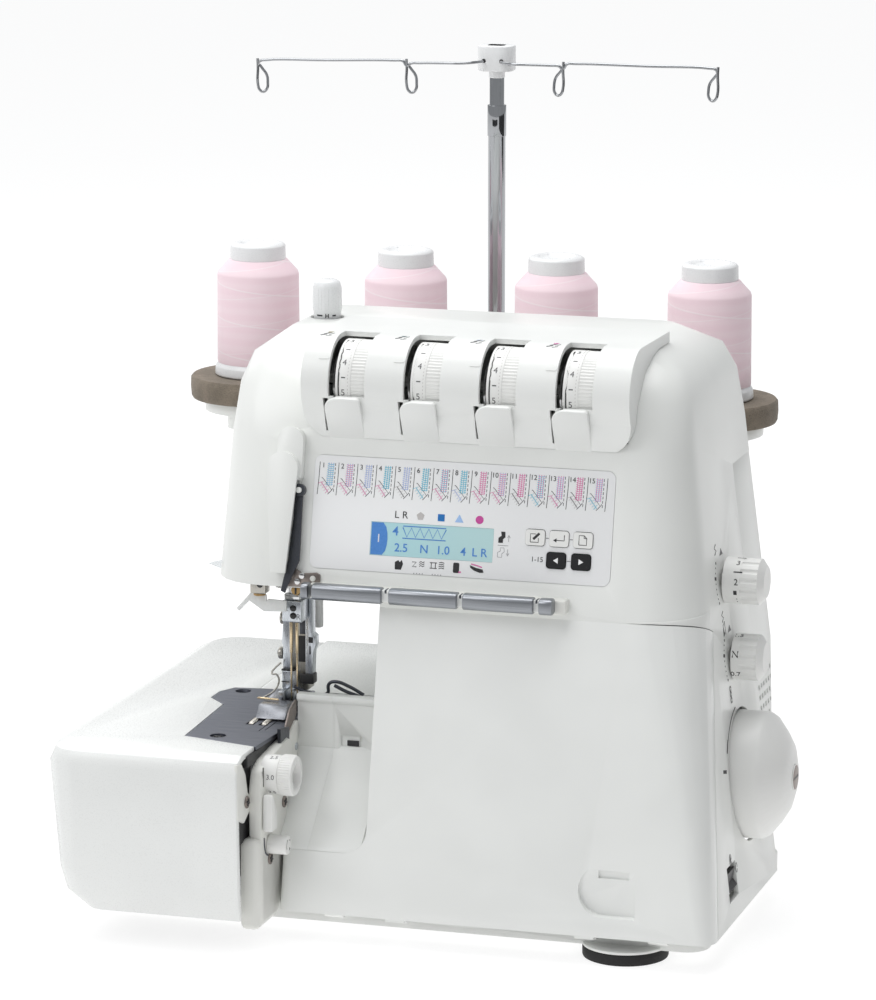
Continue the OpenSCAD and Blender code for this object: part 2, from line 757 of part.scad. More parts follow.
module main_shaft() {
    color(steel) union() {
        rod_x(left_plate_x - 3, wheel_end - 10, side_y, wheel_z, shaft_r);
        rod_x(pulley_x, pulley_x + pulley_w, side_y, wheel_z, pulley_r);
        for (x = [pulley_x - 1.5, pulley_x + pulley_w]) rod_x(x, x + 1.5, side_y, wheel_z, pulley_r + 3);
        // eccentric that drives the loopers
        rod_x(left_plate_x + 12, left_plate_x + 24, side_y + 3, wheel_z, 12);
    }
}

module handwheel() {
    color("white") difference() {
        translate([0, side_y, wheel_z]) rotate([0, 90, 0]) rotate_extrude($fn = fine) polygon([
            [0, 156], [10, 156], [10, 172], [28, 172], [28, 156.5], [wheel_r - 0.5, 156], [wheel_r, 157],
            [wheel_r, 175], [wheel_r - 2, 178.5], [wheel_r - 9, 184], [18, 187.6], [10, wheel_end - 0.6], [0, wheel_end - 0.6]]);
        rod_x(150, wheel_end - 10, side_y, wheel_z, shaft_r);
        rod_x(wheel_end - 2, wheel_end + 1, side_y, wheel_z, 7);
    }
    // slotted centre screw
    color("silver") difference() {
        rod_x(wheel_end - 2, wheel_end, side_y, wheel_z, 6.9);
        box(wheel_end - 1, wheel_end + 1, side_y - 5.5, side_y + 5.5, wheel_z - 0.7, wheel_z + 0.7);
    }
}

module motor() {
    color("dimgray") difference() {
        union() {
            rod_x(54, right_plate_x - 4, motor_y, motor_z, motor_r);
            rod_x(right_plate_x - 4, right_plate_x, motor_y, motor_z, motor_r - 5);
        }
        rod_x(90, right_plate_x + 1, motor_y, motor_z, 3 + fit);
    }
}

module motor_pulley() {
    color("silver") union() {
        rod_x(92, pulley_x + pulley_w + 2, motor_y, motor_z, 3);
        rod_x(pulley_x, pulley_x + pulley_w, motor_y, motor_z, motor_pulley_r);
        rod_x(pulley_x - 1.2, pulley_x, motor_y, motor_z, motor_pulley_r + 2);
    }
}

module belt_loop(r) {
    hull() {
        translate([side_y, wheel_z]) circle(r = pulley_r + r, $fn = coarse);
        translate([motor_y, motor_z]) circle(r = motor_pulley_r + r, $fn = coarse);
    }
}

module drive_belt() {
    color("black") translate([pulley_x + 1, 0, 0]) rotate([90, 0, 90]) linear_extrude(pulley_w - 2) difference() {
        belt_loop(2.2);
        belt_loop(0.4);
    }
}

// ---- Stitch forming ----

clamp_z = 140;
clamp_h = 18;

module needle_bar() {
    color("silver") rod_z(needle_x, needle_y, clamp_z + clamp_h - 6, 248, bar_radius);
}

module needle_clamp() {
    needles();
    color("silver") difference() {
        pad_z(needle_x - 6, needle_x + 6, needle_y - 6, needle_y + 6, clamp_z, clamp_z + clamp_h, 1.5);
        rod_z(needle_x, needle_y, clamp_z + clamp_h - 6, clamp_z + clamp_h + 1, bar_radius);
        for (x = [-2.5, 2.5]) rod_z(needle_x + x, needle_y, clamp_z - 1, clamp_z + 8, 1);
        for (z = [5, 12]) rod_y(needle_x, needle_y - 7, needle_y - 3, clamp_z + z, 1.9);
    }
}

module needles() {
    color("silver") for (x = [-2.5, 2.5]) union() {
        rod_z(needle_x + x, needle_y, clamp_z - 12, clamp_z + 8, 1);
        rod_z(needle_x + x, needle_y, clamp_z - 28, clamp_z - 12, 0.7);
        translate([needle_x + x, needle_y, clamp_z - 32]) cylinder(h = 4, r1 = 0.1, r2 = 0.7, $fn = fine);
    }
}

module presser_bar() {
    color("silver") union() {
        rod_z(presser_x, presser_y, 128, 250, bar_radius);
        // tall foot holder with its side plate
        difference() {
            pad_z(presser_x - 7, presser_x + 7, presser_y - 7, presser_y + 6, 112, 168, 1.5);
            box(presser_x - 9, presser_x - 3, presser_y - 9, presser_y - 3, 118, 160);
            box(presser_x + 2, presser_x + 9, presser_y - 3, presser_y + 1, 138, 143);
        }
    }
}

foot_front = -93;

module presser_foot() {
    color("slategray") difference() {
        union() {
            pad_z(needle_x - 14, needle_x + 4, foot_front, needle_y + 24, bed_z + 0.4, bed_z + 3, 2);
            box(presser_x - 5, presser_x + 5, presser_y - 6, presser_y + 4, bed_z + 3, 112);
            // turned-up front
            translate([needle_x - 13, foot_front + 1, bed_z + 1.2]) rotate([-35, 0, 0]) translate([0, -6, 0]) cube([16, 6, 1.6]);
        }
        box(needle_x - 5, needle_x + 5, needle_y - 8, needle_y + 6, 90, bed_z + 10);
    }
}

lifter_x = -48;
lifter_y = 44;
lifter_z = 190;

module foot_lifter() {
    color("white") difference() {
        union() {
            rod_x(lifter_x - 4, lifter_x + 4, lifter_y, lifter_z, 6);
            box(lifter_x - 3, lifter_x + 3, lifter_y, lifter_y + 56, lifter_z - 4, lifter_z + 4);
            pad_z(lifter_x - 8, lifter_x + 8, lifter_y + 56, lifter_y + 72, lifter_z - 3, lifter_z + 3, 5);
        }
        rod_x(lifter_x - 5, lifter_x + 5, lifter_y, lifter_z, 2.5 + fit);
    }
}

takeup_x = -57;
takeup_z = 226;

module on_takeup(z) {
    on_front(takeup_x, takeup_z) translate([0, 0, z]) children();
}

module takeup_lever() {
    color("dimgray") difference() {
        union() {
            on_takeup(3) linear_extrude(1.2)
                polygon([[-3, 2], [1.6, 2], [1.8, -36], [-4, -50], [-5, -53], [-7.2, -52], [-4.3, -36], [-2.6, -14]]);
            on_takeup(3) cylinder(h = 3, r = 3.2, $fn = coarse);
        }
        on_takeup(2) cylinder(h = 6, r = 1.5 + fit, $fn = coarse);
    }
}

// Outline of a round-topped cover, w0 wide at its foot and w1 at its head
module cover_outline(w0, w1, h) {
    polygon(concat([[-w0 / 2, 0], [w0 / 2, 0]],
        [for (a = [0:15:180]) [w1 / 2 * cos(a) + (w0 - w1) / 10, h - w1 / 2 + w1 / 2 * sin(a)]]));
}

// Two stacked round-topped covers over the needle thread lever, and the lever's pivot pin
module takeup_covers() {
    color(white) difference() {
        union() {
            on_front(-63.5, 232) translate([0, 0, -1]) linear_extrude(6) cover_outline(14, 14, 26);
            on_front(-65, 184) translate([0, 0, -1]) linear_extrude(10) cover_outline(8, 17, 62);
        }
        head_form(-0.02, seam_z);
        on_takeup(2) translate([-12.5, -62, 0]) cube([22, 67, 5.5]);
    }
    color(steel) on_takeup(0) cylinder(h = 7, r = 1.5, $fn = coarse);
}

// Thread guide plate, eyelet block and threader arm under the head
module head_guides() {
    color(steel) union() {
        box(-104, -84, -80, -66, throat_z - 2, throat_z);
        difference() {
            box(-97, -88, -78, -70, throat_z - 13, throat_z - 1);
            rod_y(-92.5, -80, -68, throat_z - 7, 2);
        }
        box(-94, -90, -75, -72, throat_z - 20, throat_z - 12);
    }
    color("white") union() {
        translate([0, -72, 0]) rotate([90, 0, 0]) linear_extrude(2)
            polygon([[-110, 146], [-107, 144], [-99, 158], [-90, 152], [-88.5, 152], [-88.5, 160], [-100, 164]]);
    }
}

// ---- Loopers, feed and knives ----

looper_x = -52;
looper_y = -30;
looper_z = 44;

module upper_looper() {
    color("silver") difference() {
        union() {
            rod_y(looper_x, looper_y - 6, looper_y + 6, 44, 6);
            translate([0, looper_y + 2, 0]) rotate([90, 0, 0]) linear_extrude(4)
                polygon([[looper_x - 4, 44], [looper_x + 4, 44], [looper_x + 8, 78], [looper_x + 4, 92], [looper_x - 4, 92], [looper_x + 2, 76]]);
        }
        rod_y(looper_x, looper_y - 8, looper_y + 8, 44, 2.5 + fit);
    }
}

module lower_looper() {
    color("silver") difference() {
        union() {
            rod_y(looper_x + 22, looper_y - 6, looper_y + 6, 44, 6);
            translate([0, looper_y - 3, 0]) rotate([90, 0, 0]) linear_extrude(3)
                polygon([[looper_x + 18, 44], [looper_x + 26, 44], [looper_x + 24, 84], [looper_x + 8, 98], [looper_x + 6, 96], [looper_x + 20, 82]]);
        }
        rod_y(looper_x + 22, looper_y - 8, looper_y + 8, 44, 2.5 + fit);
    }
}

module feed_dogs() {
    color("gray") difference() {
        union() {
            for (x = [-86, -81, -76]) box(x - 1, x + 1, -105, -92, 88, bed_z);
            box(-88, -74, -105, -92, 80, 88.5);
            box(-84, -78, -93, 30, 80, 86);
        }
        for (x = [-86, -81, -76], k = [0:5]) translate([x - 2, -105 + k * 2.2, bed_z]) rotate([45, 0, 0])
            translate([0, -0.5, -0.5]) cube([4, 1, 1]);
    }
}

knife_x = -62.3;
knife_y = -84;
knife_z = 64;

module upper_knife() {
    color("darkgray") difference() {
        translate([knife_x, 0, 0]) rotate([90, 0, 90]) linear_extrude(1.8) polygon([
            [knife_y + 4, knife_z - 4], [knife_y + 4, knife_z + 4], [-97, 88], [-97, bed_z + 1], [-111, bed_z + 3],
            [-111, 94], [-103, 86], [knife_y - 4, knife_z - 2], [knife_y - 2, knife_z - 5]]);
        rod_x(knife_x - 1, knife_x + 3, knife_y, knife_z, 2 + fit);
    }
}

// ---- Side controls ----

module side_dial(z) {
    inner = side_at(z) + 1.5;
    color("white") union() {
        difference() {
            rod_x(inner, 171, side_y, z, side_dial_r);
            for (a = [0:24:359]) translate([162, side_y + (side_dial_r + 1.1) * cos(a), z + (side_dial_r + 1.1) * sin(a)])
                rotate([0, 90, 0]) cylinder(h = 12, r = 1.8, $fn = 24);
        }
        translate([171, side_y, z]) rotate([0, 90, 0]) cylinder(h = 3, r1 = side_dial_r, r2 = side_dial_r - 4, $fn = fine);
        rod_x(right_plate_x - 2, inner + 0.5, side_y, z, 3);
    }
}

module length_dial() { side_dial(length_z); }
module differential_dial() { side_dial(diff_z); }

switch_y = -75;
switch_w = 16;
switch_z = 34;

module power_switch() {
    color("black") difference() {
        rod_y_block();
        rod_y(side_at(switch_z) - 8, switch_y - switch_w, switch_y + switch_w, switch_z, 1.5 + fit);
    }
}

module rod_y_block() {
    x = side_at(switch_z);
    translate([0, switch_y + switch_w / 2, 0]) rotate([90, 0, 0]) linear_extrude(switch_w)
        polygon([[x - 12, 28], [x - 1.5, 28], [x + 0.5, 31], [x - 2, 34], [x - 1, 40], [x - 12, 40]]);
}

module pressure_knob() {
    color("white") union() {
        rod_z(knob_x, knob_y, 292, 318, 7.5);
        rod_z(knob_x, knob_y, 318, 321, 6.5);
        rod_z(knob_x, knob_y, 227, 292, 3);
    }
}

// ---- Thread stand ----

function spool_at(i) = spool_x + i * spool_pitch;
stand_z = foam_z - foam_t;
pin_r = 3;
flange_h = 4.5;
core_bore = 4;

module spool_stand() {
    color(white) union() {
        pad_z(spool_at(0) - 14, spool_at(3) + 14, spool_y - 20, spool_y + 16, stand_z - 16, stand_z - 6, 8);
        for (i = [0:3]) {
            rod_z(spool_at(i), spool_y, stand_z - 7, stand_z, 30);
            rod_z(spool_at(i), spool_y, stand_z - 1, foam_z - 0.5, 7.5);
            rod_z(spool_at(i), spool_y, foam_z - 1, foam_z + 58, pin_r);
        }
        box(pole_x - 8, pole_x + 8, spool_y + 10, pole_y - 6, stand_z - 16, stand_z - 6);
        // bracket behind the casing
        box(-46, 60, rear_y, rear_y + 16, rear_top + 1, rear_top + 8);
        box(-46, 60, rear_y + 10, rear_y + 16, stand_z - 16, rear_top + 2);
        box(-46, 60, rear_y + 10, spool_y - 10, stand_z - 16, stand_z - 8);
        difference() {
            rod_z(pole_x, pole_y, socket_z, stand_z - 1, 8.5);
            rod_z(pole_x, pole_y, socket_z + 3, stand_z, pole_d / 2 + fit);
        }
    }
}

module foam_discs() {
    color("rosybrown") for (i = [0:3]) difference() {
        rod_z(spool_at(i), spool_y, stand_z, foam_z, foam_d / 2);
        rod_z(spool_at(i), spool_y, stand_z - 1, foam_z + 1, 8);
        translate([pole_x, pole_y, 0]) cylinder(h = 500, r = pole_d / 2 + 1.2, $fn = fine);
    }
}

module thread_cone(i) {
    x = spool_at(i);
    z = foam_z + 0.3;
    cap_z = z + cone_h - 9;
    color("white") difference() {
        union() {
            rod_z(x, spool_y, z, z + flange_h, cone_d / 2 + 2);
            rod_z(x, spool_y, z + 1, cap_z, 12);
            translate([x, spool_y, cap_z - 0.5]) cylinder(h = 9.2, r1 = 15.4, r2 = 14.6, $fn = fine);
        }
        rod_z(x, spool_y, z - 1, z + cone_h - 2, core_bore);
        rod_z(x, spool_y, z - 1, z + 40, 10);
    }
    color("pink") difference() {
        union() {
            rod_z(x, spool_y, z + flange_h, cap_z - 7.5, cone_d / 2);
            translate([x, spool_y, cap_z - 7.5]) cylinder(h = 7, r1 = cone_d / 2, r2 = 15.5, $fn = fine);
        }
        rod_z(x, spool_y, z, cap_z + 10, 12);
    }
}

module thread_cone_1() { thread_cone(0); }
module thread_cone_2() { thread_cone(1); }
module thread_cone_3() { thread_cone(2); }
module thread_cone_4() { thread_cone(3); }

collar_z = pole_top - 49;
socket_z = 100;
inner_r = 4.1;

module antenna_tube() {
    color("silver") difference() {
        union() {
            rod_z(pole_x, pole_y, stand_z - 21, collar_z, pole_d / 2);
            rod_z(pole_x, pole_y, collar_z - 1, collar_z + 16, pole_d / 2 + 0.4);
        }
        rod_z(pole_x, pole_y, stand_z - 18, collar_z + 20, inner_r + fit);
    }
}

hook_y = spool_y + 4;
wire_z = pole_top - 8;
wire_r = 1;

// A wire from point a to point b
module wire(a, b) {
    d = b - a;
    l = norm(d);
    translate(a) rotate([0, acos(d[2] / l), atan2(d[1], d[0])]) cylinder(h = l, r = wire_r, $fn = 24);
    translate(a) sphere(r = wire_r + 0.06, $fn = 24);
}

module hook(x) {
    loop = [[0, 0, 0], [-1.5, 0, -8], [-3.6, 0, -13], [-1.5, 0, -17], [2, 0, -16.5], [3.4, 0, -12.5], [1.8, 0, -5]];
    for (k = [0:len(loop) - 2]) wire([x, hook_y, wire_z] + loop[k], [x, hook_y, wire_z] + loop[k + 1]);
}

module antenna_head() {
    color("white") {
        pad_y(pole_x - 10, pole_x + 10, pole_y - 9, pole_y + 8, pole_top - 14, pole_top, 3);
        rod_z(pole_x, pole_y, pole_top - 18, pole_top - 13, 6.5);
    }
    color("silver") {
        rod_z(pole_x, pole_y, stand_z + 20, pole_top - 6, inner_r);
        for (side = [-1, 1]) {
            wire([pole_x + side * 9, pole_y - 2, wire_z], [pole_x + side * 20, hook_y, wire_z]);
            wire([pole_x + side * 20, hook_y, wire_z], [pole_x + side * spool_pitch * 1.5, hook_y, wire_z]);
            for (k = [0.5, 1.5]) hook(pole_x + side * k * spool_pitch);
        }
    }
}

base_tray();
rubber_feet();
cast_frame();
upper_shell();
rear_cover();
dial_unit_cover();
control_panel();
lcd_module();
circuit_board();
thread_rail();
inner_wall();
bed_arm();
bed_cover();
needle_plate();
cloth_plate();
looper_cover();
cover_hinge_bar();
motor();
motor_pulley();
drive_belt();
shaft_bushes();
main_shaft();
handwheel();
needle_bar();
needle_clamp();
presser_bar();
presser_foot();
foot_lifter();
takeup_lever();
takeup_covers();
head_guides();
upper_looper();
lower_looper();
feed_dogs();
upper_knife();
tension_posts();
tension_dial_1();
tension_dial_2();
tension_dial_3();
tension_dial_4();
length_dial();
differential_dial();
width_dial();
finger_lever();
width_knob();
button_edit();
button_enter();
button_page();
button_back();
button_next();
power_switch();
pressure_knob();
spool_stand();
foam_discs();
antenna_tube();
antenna_head();
thread_cone_1();
thread_cone_2();
thread_cone_3();
thread_cone_4();
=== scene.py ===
import math

import bpy
from mathutils import Matrix, Vector


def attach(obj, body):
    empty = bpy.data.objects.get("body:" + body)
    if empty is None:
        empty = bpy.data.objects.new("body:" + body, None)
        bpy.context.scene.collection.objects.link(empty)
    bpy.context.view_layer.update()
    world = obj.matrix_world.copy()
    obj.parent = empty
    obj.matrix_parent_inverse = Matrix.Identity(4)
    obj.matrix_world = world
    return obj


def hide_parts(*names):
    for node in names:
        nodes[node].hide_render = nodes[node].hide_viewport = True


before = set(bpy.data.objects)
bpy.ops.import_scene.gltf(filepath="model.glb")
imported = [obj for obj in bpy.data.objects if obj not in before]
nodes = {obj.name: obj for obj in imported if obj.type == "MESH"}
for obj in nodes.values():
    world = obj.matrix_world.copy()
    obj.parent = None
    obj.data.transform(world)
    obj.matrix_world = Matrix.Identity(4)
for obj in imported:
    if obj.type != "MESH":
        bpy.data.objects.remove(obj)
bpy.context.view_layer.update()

MM = 0.001

# Where the machine's main pieces are, in millimetres, in the frame of the model.
FRONT_LEAN = 0.21
FRONT_AT_SKIRT = -128.0
SKIRT_Z = 15.0
SIDE_AT_SKIRT = 172.0
SIDE_LEAN = 0.125
BED_Z = 103.0
PANEL_X, PANEL_Z = 28.5, 216.0
DIAL_LEFTS = (-39.5, 0.5, 40.5, 80.5)
DIAL_R, HOOD_R = 21.0, 24.0
DIAL_Y, DIAL_Z = -62.0, 281.0
SIDE_DIAL_Y = -25.0
SIDE_DIAL_R = 12.0
LENGTH_Z, DIFFERENTIAL_Z, WHEEL_Z = 180.0, 140.0, 78.0
CONE_PITCH, CONE_Y = 86.0, 127.0
CONE_XS = tuple(-152.5 + CONE_PITCH * n for n in range(4))
FOAM_Z = 245.5
POLE_X, POLE_Y, POLE_TOP = -21.5, 151.0, 431.0
WIRE_Z, HOOK_Y = 423.0, 131.0
KNOB_X, KNOB_Y = -72.5, 6.0
NEEDLE_X, NEEDLE_Y = -70.0, -60.0
SWITCH_Y, SWITCH_Z = -75.0, 34.0


def front_at(z):
    """Y of the leaning front at height z."""
    return FRONT_AT_SKIRT + FRONT_LEAN * (z - SKIRT_Z)


def side_at(z):
    """X of the leaning right side at height z."""
    return SIDE_AT_SKIRT - SIDE_LEAN * (z - SKIRT_Z)


# ---------------------------------------------------------------- materials

class Value:
    """A number that changes over a surface. Sums on it add Math nodes."""

    def __init__(self, finish, socket):
        self.finish, self.socket = finish, socket

    def maths(self, operation, *terms):
        made = self.finish.node("ShaderNodeMath", {"operation": operation}, dict(enumerate(terms)))
        return Value(self.finish, made.outputs[0])


def teach(method, operation):
    """Gives Value a method that adds one Math node."""
    setattr(Value, method, lambda self, *others: self.maths(operation, self, *others))


for sum_name, node_name in (
        ("__add__", "ADD"), ("__sub__", "SUBTRACT"), ("__mul__", "MULTIPLY"), ("__truediv__", "DIVIDE"),
        ("sine", "SINE"), ("fraction", "FRACT"), ("below", "LESS_THAN"), ("greater", "MAXIMUM"),
        ("angle_to", "ARCTAN2"), ("power", "POWER")):
    teach(sum_name, node_name)


class Finish:
    """A material of the machine, made of nodes."""

    def __init__(self, name, colour, roughness=0.4, metallic=0.0, **shader):
        self.material = bpy.data.materials.new(name)
        self.material.use_nodes = True
        self.tree = self.material.node_tree
        self.tree.nodes.clear()
        self.shader = self.node("ShaderNodeBsdfPrincipled")
        self.node("ShaderNodeOutputMaterial", {}, {"Surface": self.shader.outputs[0]})
        self.set("Base Color", colour)
        self.set("Roughness", roughness)
        self.set("Metallic", metallic)
        for socket, value in shader.items():
            self.set(socket.replace("_", " "), value)

    def node(self, kind, settings=None, sockets=None):
        made = self.tree.nodes.new(kind)
        for name, value in (settings or {}).items():
            if name == "stops":
                ramp = made.color_ramp
                while len(ramp.elements) < len(value):
                    ramp.elements.new(0.5)
                for stop, (place, colour) in zip(ramp.elements, value):
                    stop.position, stop.color = place, rgba(colour)
            else:
                setattr(made, name, value)
        for name, value in (sockets or {}).items():
            self.join(made.inputs[name], value)
        return made

    def join(self, socket, value):
        if isinstance(value, Value):
            value = value.socket
        if isinstance(value, bpy.types.NodeSocket):
            self.tree.links.new(value, socket)
        elif isinstance(value, (tuple, list)) and socket.type == "RGBA":
            socket.default_value = rgba(value)
        else:
            socket.default_value = value

    def set(self, socket, value):
        self.join(self.shader.inputs[socket], value)

    def place(self, turn=(0, 0, 0), centre=(0, 0, 0)):
        """Object coordinates in millimetres about a centre, turned about X, Y and Z."""
        coords = self.node("ShaderNodeTexCoord").outputs["Object"]
        moved = self.node("ShaderNodeVectorMath", {"operation": "SUBTRACT"},
                          {0: coords, 1: tuple(c * MM for c in centre)}).outputs[0]
        return self.node("ShaderNodeMapping", {}, {
            "Vector": moved, "Rotation": turn, "Scale": (1 / MM,) * 3}).outputs[0]

    def parts(self, vector):
        split = self.node("ShaderNodeSeparateXYZ", {}, {0: vector})
        return [Value(self, socket) for socket in split.outputs]

    def vector(self, x, y, z):
        return self.node("ShaderNodeCombineXYZ", {}, {0: x, 1: y, 2: z}).outputs[0]

    def noise(self, scale, detail=3.0, vector=None, roughness=0.5):
        """Cloudy noise, with scale in features per millimetre."""
        made = self.node("ShaderNodeTexNoise", {}, {
            "Vector": vector if vector is not None else self.place(),
            "Scale": scale, "Detail": detail, "Roughness": roughness})
        return Value(self, made.outputs[0])

    def spread(self, value, low, high, out_low=0.0, out_high=1.0, smooth=True):
        """The value carried from low..high to out_low..out_high, and held at the ends."""
        kind = {"interpolation_type": "SMOOTHSTEP" if smooth else "LINEAR"}
        made = self.node("ShaderNodeMapRange", kind, {
            0: value, 1: low, 2: high, 3: out_low, 4: out_high})
        return Value(self, made.outputs[0])

    def mix(self, factor, first, second):
        made = self.node("ShaderNodeMix", {"data_type": "RGBA"}, {0: factor})
        self.join(made.inputs[6], first)
        self.join(made.inputs[7], second)
        return made.outputs[2]

    def bump(self, height, distance, strength=1.0):
        """Height, from 0 to 1, times distance in millimetres."""
        made = self.node("ShaderNodeBump", {}, {
            "Height": height, "Distance": distance * MM, "Strength": strength})
        self.set("Normal", made.outputs[0])


def rgba(colour):
    return tuple(colour) if len(colour) == 4 else (*colour, 1.0)


def moulded(name, colour, roughness=0.34, grain=0.012, **shader):
    """Injection moulded plastic: a faint mottle in colour and gloss, and a fine skin."""
    made = Finish(name, colour, roughness, **shader)
    cloud = made.noise(0.02, 2)
    shade = tuple(c * 0.965 for c in colour)
    made.set("Base Color", made.mix(made.spread(cloud, 0.35, 0.7), colour, shade))
    fine = made.noise(1.6, 2)
    made.set("Roughness", made.spread(fine, 0.3, 0.7, roughness - 0.04, roughness + 0.05))
    made.bump(fine, grain)
    return made


def metal(name, colour, roughness, grain=(0.08, 4, 4), depth=0.004, **shader):
    """Metal with a brushed grain, drawn out along the axis with the low figure."""
    made = Finish(name, colour, roughness, 1.0, **shader)
    x, y, z = made.parts(made.place())
    grained = made.noise(1.0, 3, made.vector(x * grain[0], y * grain[1], z * grain[2]))
    made.set("Roughness", made.spread(grained, 0.3, 0.7, roughness * 0.8, roughness * 1.3))
    dim = tuple(c * 0.85 for c in colour)
    made.set("Base Color", made.mix(made.spread(grained, 0.3, 0.75), colour, dim))
    made.bump(grained, depth)
    return made


WHITE = (0.85, 0.86, 0.835)
casing_white = moulded("casing_white", WHITE, 0.33, Coat_Weight=0.15, Coat_Roughness=0.2)
cover_white = moulded("cover_white", (0.855, 0.865, 0.845), 0.33, Coat_Weight=0.15, Coat_Roughness=0.2)
bed_white = moulded("bed_white", (0.86, 0.87, 0.855), 0.3, Coat_Weight=0.2, Coat_Roughness=0.15)
inner_white = moulded("inner_white", (0.80, 0.80, 0.76), 0.4)
dial_white = moulded("dial_white", (0.86, 0.86, 0.84), 0.35)
cap_white = moulded("cap_white", (0.84, 0.845, 0.85), 0.3)
black_gloss = moulded("black_gloss", (0.012, 0.012, 0.013), 0.22)
black_satin = moulded("black_satin", (0.03, 0.03, 0.032), 0.45)
foot_rubber = moulded("foot_rubber", (0.012, 0.012, 0.012), 0.7, 0.06)
belt_rubber = moulded("belt_rubber", (0.02, 0.02, 0.02), 0.75, 0.05)
board_green = moulded("board_green", (0.02, 0.12, 0.05), 0.35)
motor_enamel = moulded("motor_enamel", (0.05, 0.05, 0.055), 0.4, 0.03)
cast_metal = metal("cast_metal", (0.55, 0.56, 0.57), 0.5, (0.7, 0.7, 0.7), 0.05)
rail_metal = metal("rail_metal", (0.34, 0.355, 0.38), 0.34, (0.05, 6, 6))
plate_metal = metal("plate_metal", (0.20, 0.21, 0.245), 0.40, (0.05, 5, 5), 0.006)
foot_metal = metal("foot_metal", (0.36, 0.37, 0.40), 0.30, (4, 0.2, 4))
guide_metal = metal("guide_metal", (0.50, 0.48, 0.44), 0.3, (3, 3, 0.2))
dark_metal = metal("dark_metal", (0.10, 0.105, 0.12), 0.35, (3, 3, 0.3))
bright_metal = metal("bright_metal", (0.72, 0.72, 0.72), 0.16, (4, 4, 0.1), 0.002)
pole_metal = metal("pole_metal", (0.40, 0.41, 0.425), 0.07, (5, 5, 0.05), 0.001)
bronze_metal = metal("bronze_metal", (0.45, 0.30, 0.14), 0.45, (2, 2, 2), 0.01)
bronze_brown = metal("bronze_brown", (0.30, 0.26, 0.24), 0.4, (0.1, 5, 5))
clamp_metal = metal("clamp_metal", (0.62, 0.65, 0.69), 0.26, (4, 4, 0.2), 0.002)
needle_gold = metal("needle_gold", (0.74, 0.60, 0.40), 0.18, (4, 4, 0.1), 0.001)


def panel_film():
    """Printed film, pale grey-white, with a painted highlight: a soft pool of light painted towards its left."""
    made = Finish("panel_film", (0.78, 0.79, 0.80), 0.3, Coat_Weight=0.3, Coat_Roughness=0.12)
    x, _, z = made.parts(made.place(centre=(PANEL_X, 0, PANEL_Z)))
    # painted highlight: the film is painted paler in a soft patch towards its left, where light falls on it
    painted_light_patch = made.spread(((x + 45) * (x + 45) * 0.25 + (z + 5) * (z + 5)).power(0.5), 4, 45)
    made.set("Base Color", made.mix(painted_light_patch, (0.94, 0.945, 0.95), (0.84, 0.845, 0.85)))
    made.bump(made.noise(2.5, 2), 0.006)
    return made


def display_glass():
    """Cyan display with the faint lattice of its dots."""
    made = Finish("display_glass", (0.42, 0.70, 0.74), 0.22, Coat_Weight=0.4, Coat_Roughness=0.08)
    x, _, z = made.parts(made.place(centre=(PANEL_X, 0, PANEL_Z)))
    lattice = ((x / 0.42).fraction().below(0.16)).greater((z / 0.42).fraction().below(0.16))
    side = made.spread(x, -50, 20)
    ground = made.mix(side, (0.45, 0.74, 0.79), (0.50, 0.72, 0.73))
    made.set("Base Color", made.mix(lattice * 0.25, ground, (0.55, 0.80, 0.82)))
    made.bump(made.noise(3, 1), 0.003)
    return made


def wound_thread():
    """Sewing thread cross-wound on its cone: near level turns with slow spirals over them, and a painted
    highlight along the crest of each turn.
    """
    made = Finish("wound_thread", (0.92, 0.74, 0.79), 0.62, Sheen_Weight=0.25, Sheen_Roughness=0.5)
    x, y, z = made.parts(made.place())
    half = CONE_PITCH / 2
    across_cone = ((x + (half - CONE_XS[0])) / CONE_PITCH).fraction() * CONE_PITCH - half
    turn = (y - CONE_Y).angle_to(across_cone)
    wobble = made.noise(0.06, 2) * 1.2
    level = (z * 13.0 + turn + wobble).sine()
    rising = (z * 0.33 + turn).sine()
    falling = (z * 0.41 - turn).sine()
    strand = made.spread(rising, 0.985, 1.0).greater(made.spread(falling, 0.988, 1.0) * 0.7)
    bands = made.spread((z * 0.9 + wobble).sine(), -1, 1)
    fuzz = made.noise(4.0, 3)
    height = level * 0.25 + 0.5 + strand * 0.5 + fuzz * 0.3
    base = made.mix(bands * 0.5, (0.92, 0.72, 0.775), (0.89, 0.65, 0.72))
    # painted highlight: the crest of each level turn is painted paler, as if lit
    painted_crest_light = made.mix(made.spread(level, -1, 1) * 0.4, base, (0.94, 0.80, 0.84))
    made.set("Base Color", made.mix(strand * 0.5, painted_crest_light, (0.96, 0.88, 0.90)))
    made.bump(height, 0.10)
    return made


def foam_rubber():
    """Taupe foam: fine open cells with painted shade in their hollows, and soft mottling."""
    made = Finish("foam_rubber", (0.22, 0.18, 0.14), 0.85, Sheen_Weight=0.1)
    cells = Value(made, made.node("ShaderNodeTexVoronoi", {}, {
        "Vector": made.place(), "Scale": 1.4}).outputs["Distance"])
    cloud = made.noise(0.1, 3)
    ground = made.mix(made.spread(cloud, 0.3, 0.7), (0.23, 0.19, 0.145), (0.17, 0.14, 0.105))
    # painted shade: each cell's hollow is painted dark, as the shade inside the open pores
    made.set("Base Color", made.mix(made.spread(cells, 0.0, 0.5), (0.11, 0.09, 0.07), ground))
    made.bump(cells, 0.25)
    return made


def clear_plastic(name, colour, share):
    """Thin translucent plastic."""
    made = Finish(name, colour, 0.18, IOR=1.45)
    made.set("Alpha", made.spread(made.noise(0.4, 1), 0.0, 1.0, share - 0.05, share + 0.05))
    made.bump(made.noise(1.5, 1), 0.01)
    return made


